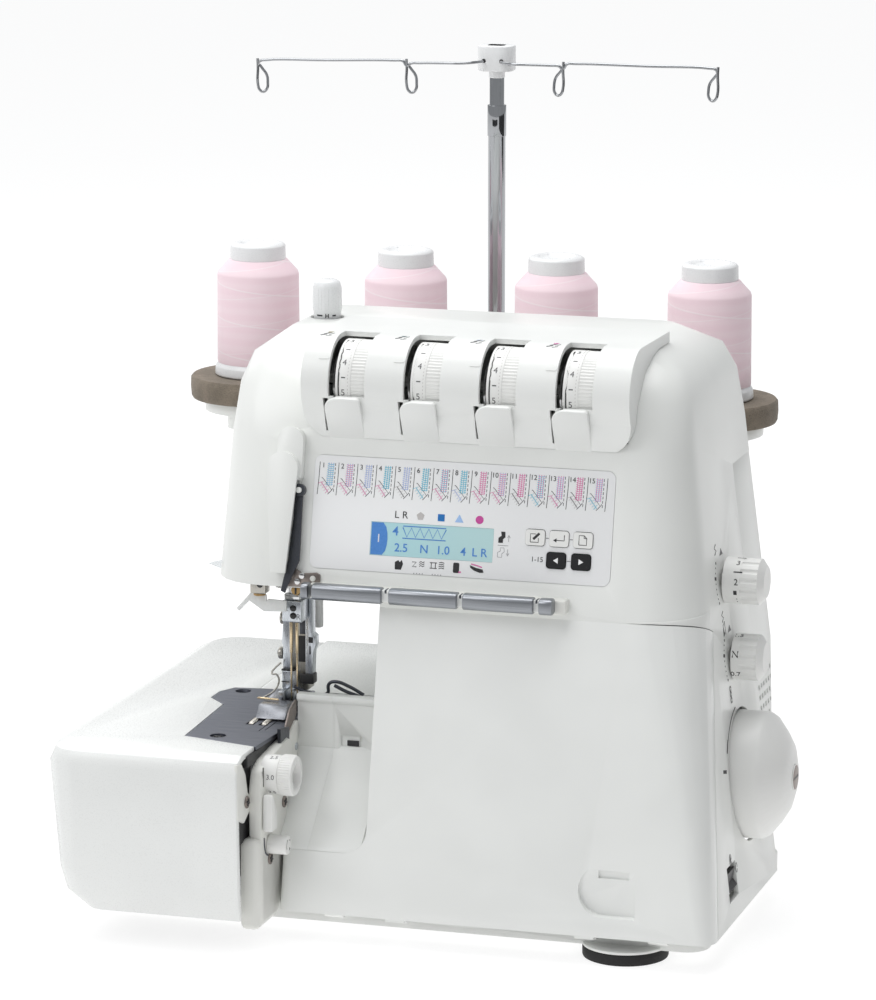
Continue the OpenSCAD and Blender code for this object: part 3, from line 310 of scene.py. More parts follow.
def ink(name, colour):
    """Screen printed ink, very slightly uneven."""
    made = Finish(name, colour, 0.45)
    thin = made.noise(1.2, 2)
    lighter = tuple(min(1.0, c * 1.08 + 0.012) for c in colour)
    made.set("Base Color", made.mix(made.spread(thin, 0.3, 0.75), colour, lighter))
    made.bump(thin, 0.003)
    return made


film = panel_film()
display = display_glass()
pink_thread = wound_thread()
foam = foam_rubber()
clear_fin = clear_plastic("clear_fin", (0.80, 0.84, 0.86), 0.45)
threader_white = clear_plastic("threader_white", (0.86, 0.87, 0.86), 0.85)
INK_COLOURS = {
    "black": (0.02, 0.02, 0.022), "grey": (0.30, 0.30, 0.31), "soft": (0.10, 0.10, 0.105),
    "pale": (0.52, 0.50, 0.49), "pink": (0.72, 0.18, 0.42), "cyan": (0.10, 0.50, 0.66),
    "lilac": (0.42, 0.50, 0.76), "khaki": (0.36, 0.33, 0.22), "teal": (0.02, 0.25, 0.24),
    "blue": (0.01, 0.16, 0.47), "sky": (0.34, 0.52, 0.82), "magenta": (0.56, 0.07, 0.32),
    "display": (0.07, 0.24, 0.62), "white": (0.86, 0.86, 0.86),
}
INKS = {name: ink(f"ink_{name}", colour) for name, colour in INK_COLOURS.items()}
BLACK, SOFT = INKS["black"], INKS["soft"]

NODE_FINISH = (
    (casing_white, "base_tray upper_shell rear_cover foot_lifter takeup_covers spool_stand"),
    (foot_rubber, "rubber_feet"),
    (cast_metal, "cast_frame bed_arm"),
    (cover_white, "dial_unit_cover looper_cover"),
    (film, "control_panel"),
    (display, "lcd_module"),
    (board_green, "circuit_board"),
    (rail_metal, "thread_rail"),
    (inner_white, "inner_wall"),
    (bed_white, "bed_cover cloth_plate"),
    (plate_metal, "needle_plate"),
    (bright_metal, "cover_hinge_bar motor_pulley main_shaft needle_bar needle_clamp upper_looper "
                   "lower_looper feed_dogs tension_posts antenna_head"),
    (motor_enamel, "motor"),
    (belt_rubber, "drive_belt"),
    (bronze_metal, "shaft_bushes"),
    (dial_white, "handwheel length_dial differential_dial width_dial finger_lever width_knob "
                 "button_edit button_enter button_page tension_dial_1 tension_dial_2 "
                 "tension_dial_3 tension_dial_4"),
    (guide_metal, "presser_bar head_guides"),
    (foot_metal, "presser_foot"),
    (dark_metal, "takeup_lever upper_knife"),
    (black_gloss, "button_back button_next"),
    (black_satin, "power_switch"),
    (cap_white, "pressure_knob"),
    (foam, "foam_discs"),
    (pole_metal, "antenna_tube"),
    (pink_thread, "thread_cone_1 thread_cone_2 thread_cone_3 thread_cone_4"),
)
for finish, names in NODE_FINISH:
    for name in names.split():
        slots = nodes[name].data.materials
        slots.clear()
        slots.append(finish.material)


# ---------------------------------------------------------------- modelling tools

def deselect():
    for thing in bpy.context.selected_objects:
        thing.select_set(False)


def pick(thing):
    deselect()
    thing.select_set(True)
    bpy.context.view_layer.objects.active = thing


def settle(thing):
    """Puts the object's place, turn and scale into its mesh."""
    pick(thing)
    bpy.ops.object.transform_apply(location=True, rotation=True, scale=True)
    return thing


def finish_with(thing, kind, **settings):
    pick(thing)
    modifier = thing.modifiers.new(kind.lower(), kind)
    for name, value in settings.items():
        setattr(modifier, name, value)
    bpy.ops.object.modifier_apply(modifier=modifier.name)
    return thing


def bevel(thing, width, segments=2, corner=40, **settings):
    """Rounds the edges that turn by more than corner degrees."""
    return finish_with(thing, "BEVEL", width=width * MM, segments=segments, limit_method="ANGLE",
                       angle_limit=math.radians(corner), **settings)


def smooth(thing, degrees=35):
    pick(thing)
    bpy.ops.object.shade_smooth_by_angle(angle=math.radians(degrees))
    return thing


def coat(thing, finish):
    thing.data.materials.clear()
    thing.data.materials.append(finish.material)
    return thing


def block(low, high, round_by=0.5, steps=3):
    """A block between two corners, in millimetres, with rounded edges."""
    deselect()
    centre = [(a + b) / 2 * MM for a, b in zip(low, high)]
    bpy.ops.mesh.primitive_cube_add(size=1, location=centre)
    made = bpy.context.object
    made.scale = [abs(b - a) * MM for a, b in zip(low, high)]
    settle(made)
    if round_by:
        bevel(made, round_by, steps, 30)
    return smooth(made)


def rod(start, end, radius, sides=48, round_by=0.2, end_radius=None):
    """A round bar from one point to another, in millimetres, with eased ends."""
    deselect()
    a, b = Vector(start) * MM, Vector(end) * MM
    r2 = radius if end_radius is None else end_radius
    bpy.ops.mesh.primitive_cone_add(vertices=sides, radius1=radius * MM, radius2=r2 * MM,
                                    depth=(b - a).length, location=(a + b) / 2)
    made = bpy.context.object
    made.rotation_mode = "QUATERNION"
    made.rotation_quaternion = (b - a).to_track_quat("Z", "Y")
    settle(made)
    if round_by:
        bevel(made, round_by)
    return smooth(made)


def slab(outline, depth, matrix, round_by=0.0, base=0.0):
    """A flat shape, in millimetres in a plane's own X and Y, raised by depth from base."""
    deselect()
    bpy.ops.mesh.primitive_circle_add(vertices=len(outline), radius=1, fill_type="NGON")
    made = bpy.context.object
    for vertex, (x, y) in zip(made.data.vertices, outline):
        vertex.co = (x * MM, y * MM, base * MM)
    bpy.ops.object.mode_set(mode="EDIT")
    bpy.ops.mesh.select_all(action="SELECT")
    bpy.ops.mesh.extrude_region_move(TRANSFORM_OT_translate={"value": (0, 0, depth * MM)})
    bpy.ops.mesh.select_all(action="SELECT")
    bpy.ops.mesh.normals_make_consistent(inside=False)
    bpy.ops.object.mode_set(mode="OBJECT")
    if round_by:
        bevel(made, round_by)
    made.matrix_world = matrix
    settle(made)
    return smooth(made)


def strip(points, width, depth, matrix, base=0.0):
    """A printed or moulded line of even width through points of a plane."""
    left, right = [], []
    for n, point in enumerate(points):
        before, after = points[max(n - 1, 0)], points[min(n + 1, len(points) - 1)]
        way = Vector((after[0] - before[0], after[1] - before[1]))
        way.normalize()
        side = Vector((-way.y, way.x)) * width / 2
        left.append((point[0] + side.x, point[1] + side.y))
        right.append((point[0] - side.x, point[1] - side.y))
    return slab(right + left[::-1], depth, matrix, base=base)


def on_circle(radius, degrees):
    return radius * math.cos(math.radians(degrees)), radius * math.sin(math.radians(degrees))


def arc_points(radius, start, end, steps=24):
    return [on_circle(radius, start + (end - start) * k / steps) for k in range(steps + 1)]


def oval(x, y, radius, squeeze, start, end, steps):
    return [(x + squeeze * u, y + v) for u, v in arc_points(radius, start, end, steps)]


def disc(x, y, radius, sides=24):
    return oval(x, y, radius, 1, 0, 360, sides)[:-1]


def rounded(x0, x1, y0, y1, radius, steps=6):
    """Outline of a rectangle with round corners."""
    corners = ((x1 - radius, y0 + radius, -90), (x1 - radius, y1 - radius, 0),
               (x0 + radius, y1 - radius, 90), (x0 + radius, y0 + radius, 180))
    return [point for x, y, start in corners for point in oval(x, y, radius, 1, start, start + 90, steps)]


def figures(text, size, depth, matrix, at=(0, 0), turn=0.0, base=0.0, weight=0.0):
    """Figures or letters as a thin raised mesh, centred at a point of a plane."""
    deselect()
    bpy.ops.object.text_add()
    made = bpy.context.object
    made.data.body, made.data.size = text, size * MM
    made.data.extrude, made.data.offset = depth / 2 * MM, weight * MM
    made.data.align_x, made.data.align_y = "CENTER", "CENTER"
    made.data.resolution_u = 3
    pick(made)
    bpy.ops.object.convert(target="MESH")
    made = bpy.context.object
    local = Matrix.Translation((at[0] * MM, at[1] * MM, (base + depth / 2) * MM))
    made.matrix_world = matrix @ local @ Matrix.Rotation(math.radians(turn), 4, "Z")
    return settle(made)


def as_mesh(curve):
    made = bpy.data.objects.new(curve.name, curve)
    bpy.context.scene.collection.objects.link(made)
    pick(made)
    bpy.ops.object.convert(target="MESH")
    return bpy.context.object


def bar(finish, *shape):
    return coat(rod(*shape), finish)


def wire(points, radius):
    """A bent wire through points, in millimetres."""
    curve = bpy.data.curves.new("bend", "CURVE")
    curve.dimensions, curve.bevel_depth, curve.resolution_u = "3D", radius * MM, 6
    curve.bevel_resolution, curve.use_fill_caps = 3, True
    spline = curve.splines.new("BEZIER")
    spline.bezier_points.add(len(points) - 1)
    for knot, point in zip(spline.bezier_points, points):
        knot.co = Vector(point) * MM
        knot.handle_left_type = knot.handle_right_type = "AUTO"
    return smooth(as_mesh(curve), 60)


def bend(finish, *shape):
    return coat(wire(*shape), finish)


def merge(name, pieces):
    """Joins pieces into one, each keeping its own finish."""
    deselect()
    for piece in pieces:
        piece.select_set(True)
    bpy.context.view_layer.objects.active = pieces[0]
    if len(pieces) > 1:
        bpy.ops.object.join()
    made = bpy.context.object
    made.name = made.data.name = name
    return settle(made)


def fit_piece(name, pieces, body, replaces=()):
    """A finished piece of the machine, riding on its body."""
    made = merge(name, pieces)
    if replaces:
        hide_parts(*replaces)
    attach(made, body)
    return made


def stand_in(name, pieces, body=None):
    """A finished piece that takes the place of a CAD node, on the node's own body if none is named."""
    return fit_piece(f"{name}_shape", pieces, body or name, replaces=(name,))


def axes(origin, x_way, y_way):
    """Matrix of a plane with the given origin, in millimetres, and directions."""
    x = Vector(x_way).normalized()
    z = x.cross(Vector(y_way)).normalized()
    y = z.cross(x)
    place = Matrix((x, y, z)).transposed().to_4x4()
    place.translation = Vector(origin) * MM
    return place


FRONT = axes((PANEL_X, front_at(PANEL_Z), PANEL_Z), (1, 0, 0), (0, FRONT_LEAN, 1))


def wrap(piece, centre, radius, axis=(1, 0, 0), zero=(0, -1, 0)):
    """Bends a flat print round a cylinder: its X runs along the axis, its Y round from zero."""
    along, out = Vector(axis), Vector(zero)
    side = out.cross(along)
    for vertex in piece.data.vertices:
        u, v, h = vertex.co
        turn = v / (radius * MM)
        vertex.co = (Vector(centre) * MM + along * u
                     + (radius * MM + h) * (out * math.cos(turn) + side * math.sin(turn)))
    return piece


FLAT = Matrix.Identity(4)


def round_print(text, size, centre, radius, at, degrees, finish, zero=(0, -1, 0), axis=(1, 0, 0), weight=0.0,
                turn=0.0):
    """A figure printed on a cylinder, at a place along its axis and an angle from zero."""
    made = figures(text, size, 0.06, FLAT, (at, math.radians(degrees) * radius), turn, base=0.01, weight=weight)
    return wrap(coat(made, finish), centre, radius, axis, zero)


def round_line(centre, radius, u0, u1, a0, a1, finish=BLACK, zero=(0, -1, 0), axis=(1, 0, 0), depth=0.06):
    """A printed rectangle on a cylinder between two places along it and two angles."""
    steps = max(int(abs(a1 - a0) / 6), 1)
    turns = [math.radians(a0 + (a1 - a0) * k / steps) * radius for k in range(steps + 1)]
    made = slab([(u0, v) for v in turns] + [(u1, v) for v in turns[::-1]], depth, FLAT, base=0.01)
    return wrap(coat(made, finish), centre, radius, axis, zero)


# ---------------------------------------------------------------- control panel

def height_on(node, plane):
    """How far a CAD node stands out of a plane, in millimetres."""
    back = plane.inverted()
    return max((back @ vertex.co).z for vertex in nodes[node].data.vertices) / MM


class Print:
    """Flat marks in one layer on the front, just proud of the CAD node that carries them."""

    def __init__(self, node):
        self.base, self.made = height_on(node, FRONT) + 0.01, []

    def write(self, text, size, x, y, colour="black", lift=0.0, weight=0.0):
        made = figures(text, size, 0.1, FRONT, (x, y), 0.0, self.base + lift, weight)
        self.made.append(coat(made, INKS[colour]))

    def fill(self, outline, colour="black"):
        self.made.append(coat(slab(outline, 0.1, FRONT, base=self.base), INKS[colour]))

    def draw(self, lines, width, colour="black"):
        """Fine lines of one ink, as low half-round ribs."""
        curve = bpy.data.curves.new("print", "CURVE")
        curve.dimensions, curve.bevel_depth, curve.bevel_resolution = "3D", width / 2 * MM, 0
        for line in lines:
            spline = curve.splines.new("POLY")
            spline.points.add(len(line) - 1)
            for knot, (x, y) in zip(spline.points, line):
                knot.co = (x * MM, y * MM, 0, 1)
        made, flat = as_mesh(curve), Matrix.Diagonal((1, 1, 0.35, 1))
        made.matrix_world = FRONT @ Matrix.Translation((0, 0, self.base * MM)) @ flat
        self.made.append(coat(settle(made), INKS[colour]))


# band colours, edge colour and zigzag colour of the fifteen stitch pictures
STITCHES = (
    ("cyan", "lilac", "pink"), ("pink", "lilac", "pink"), ("lilac", "lilac", "pink"),
    ("cyan", "cyan", "pink"), ("lilac", "lilac", "pale"), ("cyan", "cyan", "cyan"),
    ("cyan", "pink", "pink"), ("cyan", "cyan", "lilac"), ("pink", "pink", "pink"),
    ("pink", "lilac", "pink"), ("pink", "pink", "pale"), ("cyan", "pink", "cyan"),
    ("lilac", "pink", "pink"), ("pink", "pink", "pale"), ("lilac", "pink", "cyan"),
)
CELL, FIRST_CELL = 10.15, -77.2


def stitch_lines():
    """Lines of every stitch picture, gathered by ink."""
    lines = {key: [] for key in ("black", "cyan", "lilac", "pink", "pale")}
    for n in range(len(STITCHES) + 1):
        x = FIRST_CELL + CELL * n
        lines["black"].append([(x + 0.4, 25.4), (x + 0.2, 17), (x - 0.3, 8.6)])
    for n, (band, edge, zig) in enumerate(STITCHES):
        x = FIRST_CELL + CELL * n
        for k in range(11):
            y = 24.6 - k * 1.05
            left = x + 4.6 - 0.06 * k
            lines[band].append([(left, y), (left + 1.9, y - 0.5), (left + 3.7, y)])
        for k in range(3):
            lines[edge].append([(x + 5.3 + 1.2 * k, 25.2), (x + 4.8 + 1.2 * k, 13.4)])
        for k in range(7):
            y = 25.0 - k * 2.2
            lines["black"].append([(x + 8.75 - 0.05 * k, y), (x + 8.7 - 0.05 * k, y - 1.4)])
        teeth = []
        for k in range(9):
            along, out = k * 0.8, 0.0 if k % 2 else 3.0
            teeth.append((x + 2.4 + 0.62 * along - 0.78 * out, 15.6 - 0.78 * along - 0.62 * out + 0.6))
        lines[zig].append(teeth)
        lines["black"].append([(x + 1.7, 17.4), (x + 2.4, 17.0), (x + 7.4, 11.2), (x + 8.1, 12.2)])
        lines["black"].append([(x + 7.4, 11.2), (x + 5.3, 8.9)])
        lines[zig if zig != "pale" else "black"].append([(x + 1.6, 14.9), (x + 5.6, 9.8)])
    return lines


def panel_print():
    """Stitch pictures, coloured signs and setting signs of the film."""
    film_print = Print("control_panel")
    write, fill, draw = film_print.write, film_print.fill, film_print.draw
    for colour, lines in stitch_lines().items():
        draw(lines, 0.34, colour)
    for n in range(15):
        write(str(n + 1), 3.6, FIRST_CELL + CELL * n + 2.4, 23.6)
    write("L", 5.2, -34.2, 0.6)
    write("R", 5.2, -29.8, 0.6)
    fill([(-21.6 + y, 0.6 + x) for x, y in disc(0, 0, 2.2, 5)][::-1], "pale")
    fill(rounded(-12.4, -8.8, -1.3, 2.3, 0.1, 1), "blue")
    fill([(-3.3, -1.3), (1.3, -1.3), (-1.0, 2.7)], "sky")
    fill(disc(9.7, 0.6, 2.1), "magenta")
    write("1-15", 3.6, 41.0, -17.6)
    # dashes that join the buttons
    draw([[(45.0, -6.5), (46.6, -6.5)], [(57.5, -6.5), (59.1, -6.5)], [(56.5, -17.5), (58.6, -17.5)]], 0.5,
         "grey")
    # presser up and down
    fill([(20.2, -10.3), (22.6, -10.3), (22.6, -8.4), (23.8, -7.4), (23.6, -4.6), (21.4, -4.6), (21.8, -6.6),
          (20.2, -7.8)])
    draw([[(25.6, -9.6), (25.6, -6.4)], [(24.9, -7.6), (25.6, -6.2), (26.3, -7.6)],
          [(20.0, -11.6), (25.6, -11.6)],
          [(20.2, -17.6), (22.4, -17.6), (22.4, -15.8), (23.6, -14.8), (23.4, -12.8), (21.4, -12.8),
           (21.6, -14.4), (20.2, -15.2), (20.2, -17.6)],
          [(25.4, -13.4), (25.4, -16.6)], [(24.7, -15.4), (25.4, -16.8), (26.1, -15.4)]], 0.3, "grey")
    # settings under the display
    fill([(-33.6, -27.2), (-30.4, -27.2), (-29.4, -24.2), (-30.2, -22.2), (-31.2, -23.4), (-32.0, -22.4),
          (-33.8, -23.4)])
    icons = [[(-24.6, -22.8), (-22.4, -22.8), (-24.4, -25.2), (-22.2, -25.2)],
             [(-14.4, -22.6), (-14.4, -25.4)], [(-12.2, -22.6), (-12.2, -25.4)],
             [(-15.2, -22.6), (-11.4, -22.6)], [(-15.2, -25.4), (-11.4, -25.4)]]
    for k in range(3):
        icons.append([(-20.8 + 0.9 * n, (-22.4 if n % 2 else -22.9) - k) for n in range(4)])
    for k in range(4):
        icons.append([(-10.4, -22.5 - k * 0.95), (-9.0, -22.1 - k * 0.95), (-7.6, -22.5 - k * 0.95)])
    draw(icons, 0.42)
    fill(rounded(-2.8, 0.4, -27.0, -21.8, 0.7, 3))
    fill([(0.1, -27.0), (1.6, -26.8), (1.4, -26.0), (0.1, -26.2)], "pink")
    fill([(6.0, -22.6), (9.4, -23.8), (12.8, -24.4), (13.4, -26.0), (11.4, -26.2), (8.2, -25.2), (6.2, -23.8)])
    draw([[(6.6, -22.0), (9.8, -22.6), (12.4, -23.4)]], 0.7, "pink")
    for left in (-23.4, -13.6):
        for k in range(4):
            fill(disc(left + 1.5 * k, -28.6, 0.3, 6), "grey")
    fit_piece("panel_print", film_print.made, "machine")


def display_figures():
    """Figures, zigzag and the dark tab of the display."""
    shown = Print("lcd_module")
    shown.fill([(-47.2, -20.2), (-41.0, -20.2), (-39.4, -18.0), (-38.7, -15.0), (-38.5, -12.0), (-38.7, -9.0),
                (-39.4, -6.0), (-41.0, -3.8), (-47.2, -3.8)], "display")
    shown.write("1", 6.0, -43.2, -12.0, "white", 0.1)
    shown.write("4", 6.6, -34.4, -7.9, "display", weight=0.05)
    shown.draw([[(-30.6 + 2.3 * k, -10.4 if k % 2 else -5.6) for k in range(11)],
                [(-30.6, -4.9), (-7.6, -4.9)], [(-30.6, -11.1), (-7.6, -11.1)]], 0.55, "display")
    for text, x in (("2.5", -31.0), ("N", -18.8), ("1.0", -8.8), ("4", 2.0), ("L R", 10.6)):
        shown.write(text, 6.0, x, -16.2, "display", weight=0.04)
    fit_piece("display_figures", shown.made, "machine")


def button_signs():
    """White outlined keys with their signs, and arrow heads on the two black ones."""
    centres = {"edit": (39.5, -6.5), "enter": (52.0, -6.5), "page": (64.5, -6.5),
               "back": (51.0, -17.5), "next": (64.0, -17.5)}
    for key, (x, y) in centres.items():
        sign = Print(f"button_{key}")

        def moved(*points):
            return [(x + u, y + v) for u, v in points]

        if key == "back":
            sign.fill(moved((1.1, 1.5), (-1.4, 0), (1.1, -1.5)), "white")
        elif key == "next":
            sign.fill(moved((-1.1, -1.5), (1.4, 0), (-1.1, 1.5)), "white")
        elif key == "edit":
            sign.draw([moved((-2.4, -2.4), (1.8, -2.4), (1.8, -0.2)),
                       moved((-2.4, -2.4), (-2.4, 1.8), (0.4, 1.8))], 0.4)
            sign.draw([moved((-0.9, -0.9), (2.2, 2.2))], 1.3)
        elif key == "enter":
            sign.draw([moved((2.8, 2.0), (2.8, -0.8), (-1.4, -0.8))], 0.45)
            sign.fill(moved((-3.0, -0.8), (-1.2, -1.8), (-1.2, 0.2)))
        else:
            sign.draw([moved((-2.0, -2.4), (2.0, -2.4), (2.0, 1.0), (0.6, 2.4), (-2.0, 2.4), (-2.0, -2.4)),
                       moved((0.6, 2.4), (0.6, 1.0), (2.0, 1.0))], 0.42)
        fit_piece(f"button_{key}_sign", sign.made, f"button_{key}")


panel_print()
display_figures()
button_signs()


# ---------------------------------------------------------------- smooth mouldings

def moulding(name, width=0.5, smooth_to=42):
    """A copy of a node with joined faces, eased edges and smooth shading, in the node's place."""
    source = nodes[name]
    made = source.copy()
    made.data = source.data.copy()
    bpy.context.scene.collection.objects.link(made)
    pick(made)
    bpy.ops.object.mode_set(mode="EDIT")
    bpy.ops.mesh.select_all(action="SELECT")
    bpy.ops.mesh.remove_doubles(threshold=0.00002)
    bpy.ops.mesh.dissolve_limited(angle_limit=math.radians(0.6))
    bpy.ops.object.mode_set(mode="OBJECT")
    bpy.ops.mesh.customdata_custom_splitnormals_clear()
    if width:
        bevel(made, width, corner=38, miter_outer="MITER_ARC")
    smooth(made, smooth_to)
    return made


EASED = (("upper_shell", "machine", 0.7), ("rear_cover", "machine", 0.6), ("looper_cover", "looper_cover", 0.7),
         ("cloth_plate", "cloth_plate", 0.6), ("bed_cover", "machine", 0.5), ("base_tray", "machine", 0.5),
         ("spool_stand", "machine", 0.5), ("takeup_covers", "machine", 0.5), ("foot_lifter", "foot_lifter", 0.5),
         ("rubber_feet", "machine", 1.0), ("antenna_tube", "antenna_tube", 0.2))
for node_name, piece_body, edge in EASED:
    stand_in(node_name, [moulding(node_name, edge)], piece_body)


# ---------------------------------------------------------------- tension dials

def tension_dial(number, left):
    """White dial: a black rim line, its figures, a dotted line and a finely ribbed right half."""
    centre, radius, name = (left, DIAL_Y, DIAL_Z), DIAL_R, f"tension_dial_{number}"
    made = [moulding(name, 0.25, smooth_to=30)]
    made.append(round_line(centre, radius, 1.3, 2.1, -14, 82))
    for text, degrees in (("3", 79), ("4", 34), ("5", -9), ("6", -52), ("2", 124), ("1", 168)):
        made.append(round_print(text, 4.6, centre, radius, 4.1, degrees, SOFT))
    for degrees in (101, 56.5, 12.5, -30, -74, 146, 190):
        made.append(round_line(centre, radius, 3.1, 5.3, degrees - 0.8, degrees + 0.8, SOFT))
    for step in range(72):
        made.append(round_line(centre, radius, 6.5, 6.75, step * 5, step * 5 + 2, INKS["pale"]))
    stand_in(name, made)


for dial_number, dial_left in enumerate(DIAL_LEFTS, 1):
    tension_dial(dial_number, dial_left)


def cut(made, tool):
    """Takes a tool's space out of a piece."""
    pick(made)
    modifier = made.modifiers.new("cut", "BOOLEAN")
    modifier.operation, modifier.solver, modifier.object = "DIFFERENCE", "EXACT", tool
    bpy.ops.object.modifier_apply(modifier="cut")
    bpy.data.objects.remove(tool)
    return made


# plane across the front, looking along +Y: X to the right, Z up
UPRIGHT = axes((0, -130, 0), (1, 0, 0), (0, 0, 1))


def shoulder(x, y, reach, rise, steps):
    """A quarter of an oval that goes up from (x, y) and over to the right."""
    turns = [math.pi / 2 * k / steps for k in range(steps + 1)]
    return [(x + reach * (1 - math.cos(turn)), y + rise * math.sin(turn)) for turn in turns]


def window_corner(left):
    """The dark corner beside the rounded shoulder of the block under a dial."""
    outline = [(left - 3.2, 256.8), (left - 2.4, 256.2), (left - 1.6, 257.5),
               *shoulder(left - 1.6, 263.5, 4.8, 11.5, 9), (left - 0.2, 276.4), (left - 2.4, 272)]
    return slab(outline, -58, UPRIGHT, base=-8)


def dial_unit():
    """Hood over the tension dials, with round-shouldered windows, index ridges and thread signs."""
    hood = moulding("dial_unit_cover", 0.0)
    for left in DIAL_LEFTS:
        cut(hood, window_corner(left))
    bevel(hood, 0.7, 3, 38)
    smooth(hood, 42)
    made = [hood]

    def on_hood(piece, finish):
        made.append(wrap(coat(piece, finish), (0, DIAL_Y, DIAL_Z), HOOD_R))

    # a raised block under each dial, laid on the hood where two rays meet it
    block_outline = [*shoulder(-5.2, 17.0, 8, 7.5, 10), (13.6, 24.5), (14.4, 23.5), (14.4, -1.0), (-5.2, -1.0)]
    for left in DIAL_LEFTS:
        low, high = (hood.ray_cast(Vector((left + 10, -200, z)) * MM, (0, 1, 0))[1] / MM for z in (254, 266))
        place = axes((left, low.y + 1.3, 254), (1, 0, 0), high - low - Vector((0, 1.9, 0)))
        made.append(coat(slab(block_outline, 2.6, place, 1.1, base=-1.2), cover_white))
    signs = (("khaki", [(0, 1.4), (1.5, 0.3), (1.0, -1.4), (-1.0, -1.4), (-1.5, 0.3)]),
             ("teal", [(-1.4, -1.4), (1.4, -1.4), (1.4, 1.4), (-1.4, 1.4)]),
             ("sky", [(-1.6, -1.3), (1.6, -1.3), (0, 1.5)]), ("magenta", disc(0, 0, 1.5, 16)))
    strokes = ((1.1, (-10.5, 80), (-7.5, 88)), (1.1, (-12.0, 76), (-9.0, 80)), (0.5, (-7.6, 78), (-5.6, 86)),
               (0.5, (-9, 74), (-6, 77)))
    sign_y, ridge_y = (math.radians(degrees) * HOOD_R for degrees in (94, 36.5))
    for left, (colour, outline) in zip(DIAL_LEFTS, signs):
        outline = [(left - 9.0 + x, sign_y + y * 2.2) for x, y in outline]
        on_hood(slab(outline, 0.06, FLAT, base=0.02), INKS[colour])
        for width, *stroke in strokes:
            points = [(left + x - 0.6, math.radians(degrees) * HOOD_R) for x, degrees in stroke]
            on_hood(strip(points, width, 0.06, FLAT, base=0.02), SOFT)
        ridge = rounded(left - 9.2, left - 3.6, ridge_y - 0.8, ridge_y + 0.8, 0.7)
        on_hood(slab(ridge, 0.5, FLAT, base=-0.1), cover_white)
    fit_piece("dial_unit_shape", made, "machine", replaces=("dial_unit_cover",))


dial_unit()


# ---------------------------------------------------------------- side dials, handwheel and switch

def side_dial(name, height, figures_at, dashes):
    """White knob with its figures on the inner half of the barrel."""
    centre = (0, SIDE_DIAL_Y, height)
    made = [moulding(name, 0.0, smooth_to=32)]
    for text, degrees, size in figures_at:
        made.append(round_print(text, size, centre, SIDE_DIAL_R, 160.2, degrees, BLACK, weight=0.03))
    for degrees, x0, x1, thick in dashes:
        made.append(round_line(centre, SIDE_DIAL_R, x0, x1, degrees - thick, degrees + thick, BLACK))
    stand_in(name, made)


side_dial("length_dial", LENGTH_Z, (("3", 60, 4.6), ("2", 7, 4.6), ("4", 113, 4.6), ("1", -47, 4.6)),
          ((33, 158.6, 163.2, 1.6), (-20, 158.8, 160.6, 6.0), (86, 158.6, 163.2, 1.6)))
side_dial("differential_dial", DIFFERENTIAL_Z,
          (("1.5", 77, 4.4), ("N", 17, 5.0), ("0.7", -37, 4.4), ("2.0", 128, 4.4)), ())


def side_plane(y, z):
    """Plane of the leaning right side: its X runs to the rear, its Y up."""
    return axes((side_at(z), y, z), (0, 1, 0), (-SIDE_LEAN, 0, 1))


def side_marks():
    """Dotted scales, signs and index marks printed round the side controls."""
    made = []

    def fill(plane, outline, depth=0.08, finish=BLACK):
        made.append(coat(slab(outline, depth, plane, base=0.02), finish))

    def line(plane, width, points):
        made.append(coat(strip(points, width, 0.08, plane, base=0.02), BLACK))

    length, differential, wheel = (side_plane(SIDE_DIAL_Y, z) for z in (LENGTH_Z, DIFFERENTIAL_Z, WHEEL_Z))
    for plane in (length, differential):
        for step in range(9):
            x, y = on_circle(17.6, 140 + step * 9)
            fill(plane, disc(x, y, 0.75 if step in (0, 8) else 0.45, 10))
        line(plane, 1.7, [on_circle(radius, 167) for radius in (16.2, 19.4)])
        fill(plane, [(-4.4, 13.2), (2.2, 13.2), (-0.6, 16.6)], 0.06, SOFT)
    for low in (-19.5, 15.5):
        line(length, 0.8, [(-13.6, low), (-10.2, low + 1.6), (-13.6, low + 3.4), (-10.2, low + 5.0)])
    for low in (-20.5, -17.4, -14.6):
        line(differential, 0.7, oval(-12.4, low, 1.3, 1, 0, 340, 14))
    line(differential, 0.6, [(-11.0, 14.5), (-13.6, 13.0), (-12.6, 19.0), (-9.6, 20.4), (-9.0, 13.4)])
    line(wheel, 0.75, arc_points(37.4, 100, 150))
    line(wheel, 1.3, arc_points(37.8, 139, 150, 8))
    line(wheel, 1.8, [(-44.5, 12.0), (-38.0, 10.5)])
    switch = side_plane(SWITCH_Y, SWITCH_Z)
    line(switch, 0.45, oval(0, 11.5, 3.0, 0.6, 0, 345, 20))
    line(switch, 0.4, oval(0, 11.5, 1.5, 0.4, 130, 410, 14))
    line(switch, 0.4, [(0, 11.3), (0, 13.6)])
    line(switch, 0.5, oval(10.2, 5.0, 2.4, 0.6, 0, 340, 20))
    line(switch, 0.5, [(-9.6, -8.6), (-9.6, -3.6)])
    return made


fit_piece("side_marks", side_marks(), "machine")


def handwheel_screw():
    """Brown slotted screw in the middle of the handwheel."""
    end = 190.3
    cap = rod((end - 1.2, SIDE_DIAL_Y, WHEEL_Z), (end + 0.25, SIDE_DIAL_Y, WHEEL_Z), 6.7, 40, 0.4)
    slot = block((end + 0.1, SIDE_DIAL_Y - 5.6, WHEEL_Z - 0.6),
                 (end + 0.34, SIDE_DIAL_Y + 5.6, WHEEL_Z + 0.6), 0)
    return [coat(cap, bronze_brown), coat(slot, BLACK)]


stand_in("handwheel", [moulding("handwheel", 0.0, 34), *handwheel_screw()])


# ---------------------------------------------------------------- needles, presser foot and guides

def upright(outline, y, depth, finish, round_by=0.25):
    """A plate standing across the machine, its outline in X and Z, from y towards the front."""
    return coat(slab(outline, depth, axes((0, y, 0), (1, 0, 0), (0, 0, 1)), round_by), finish)


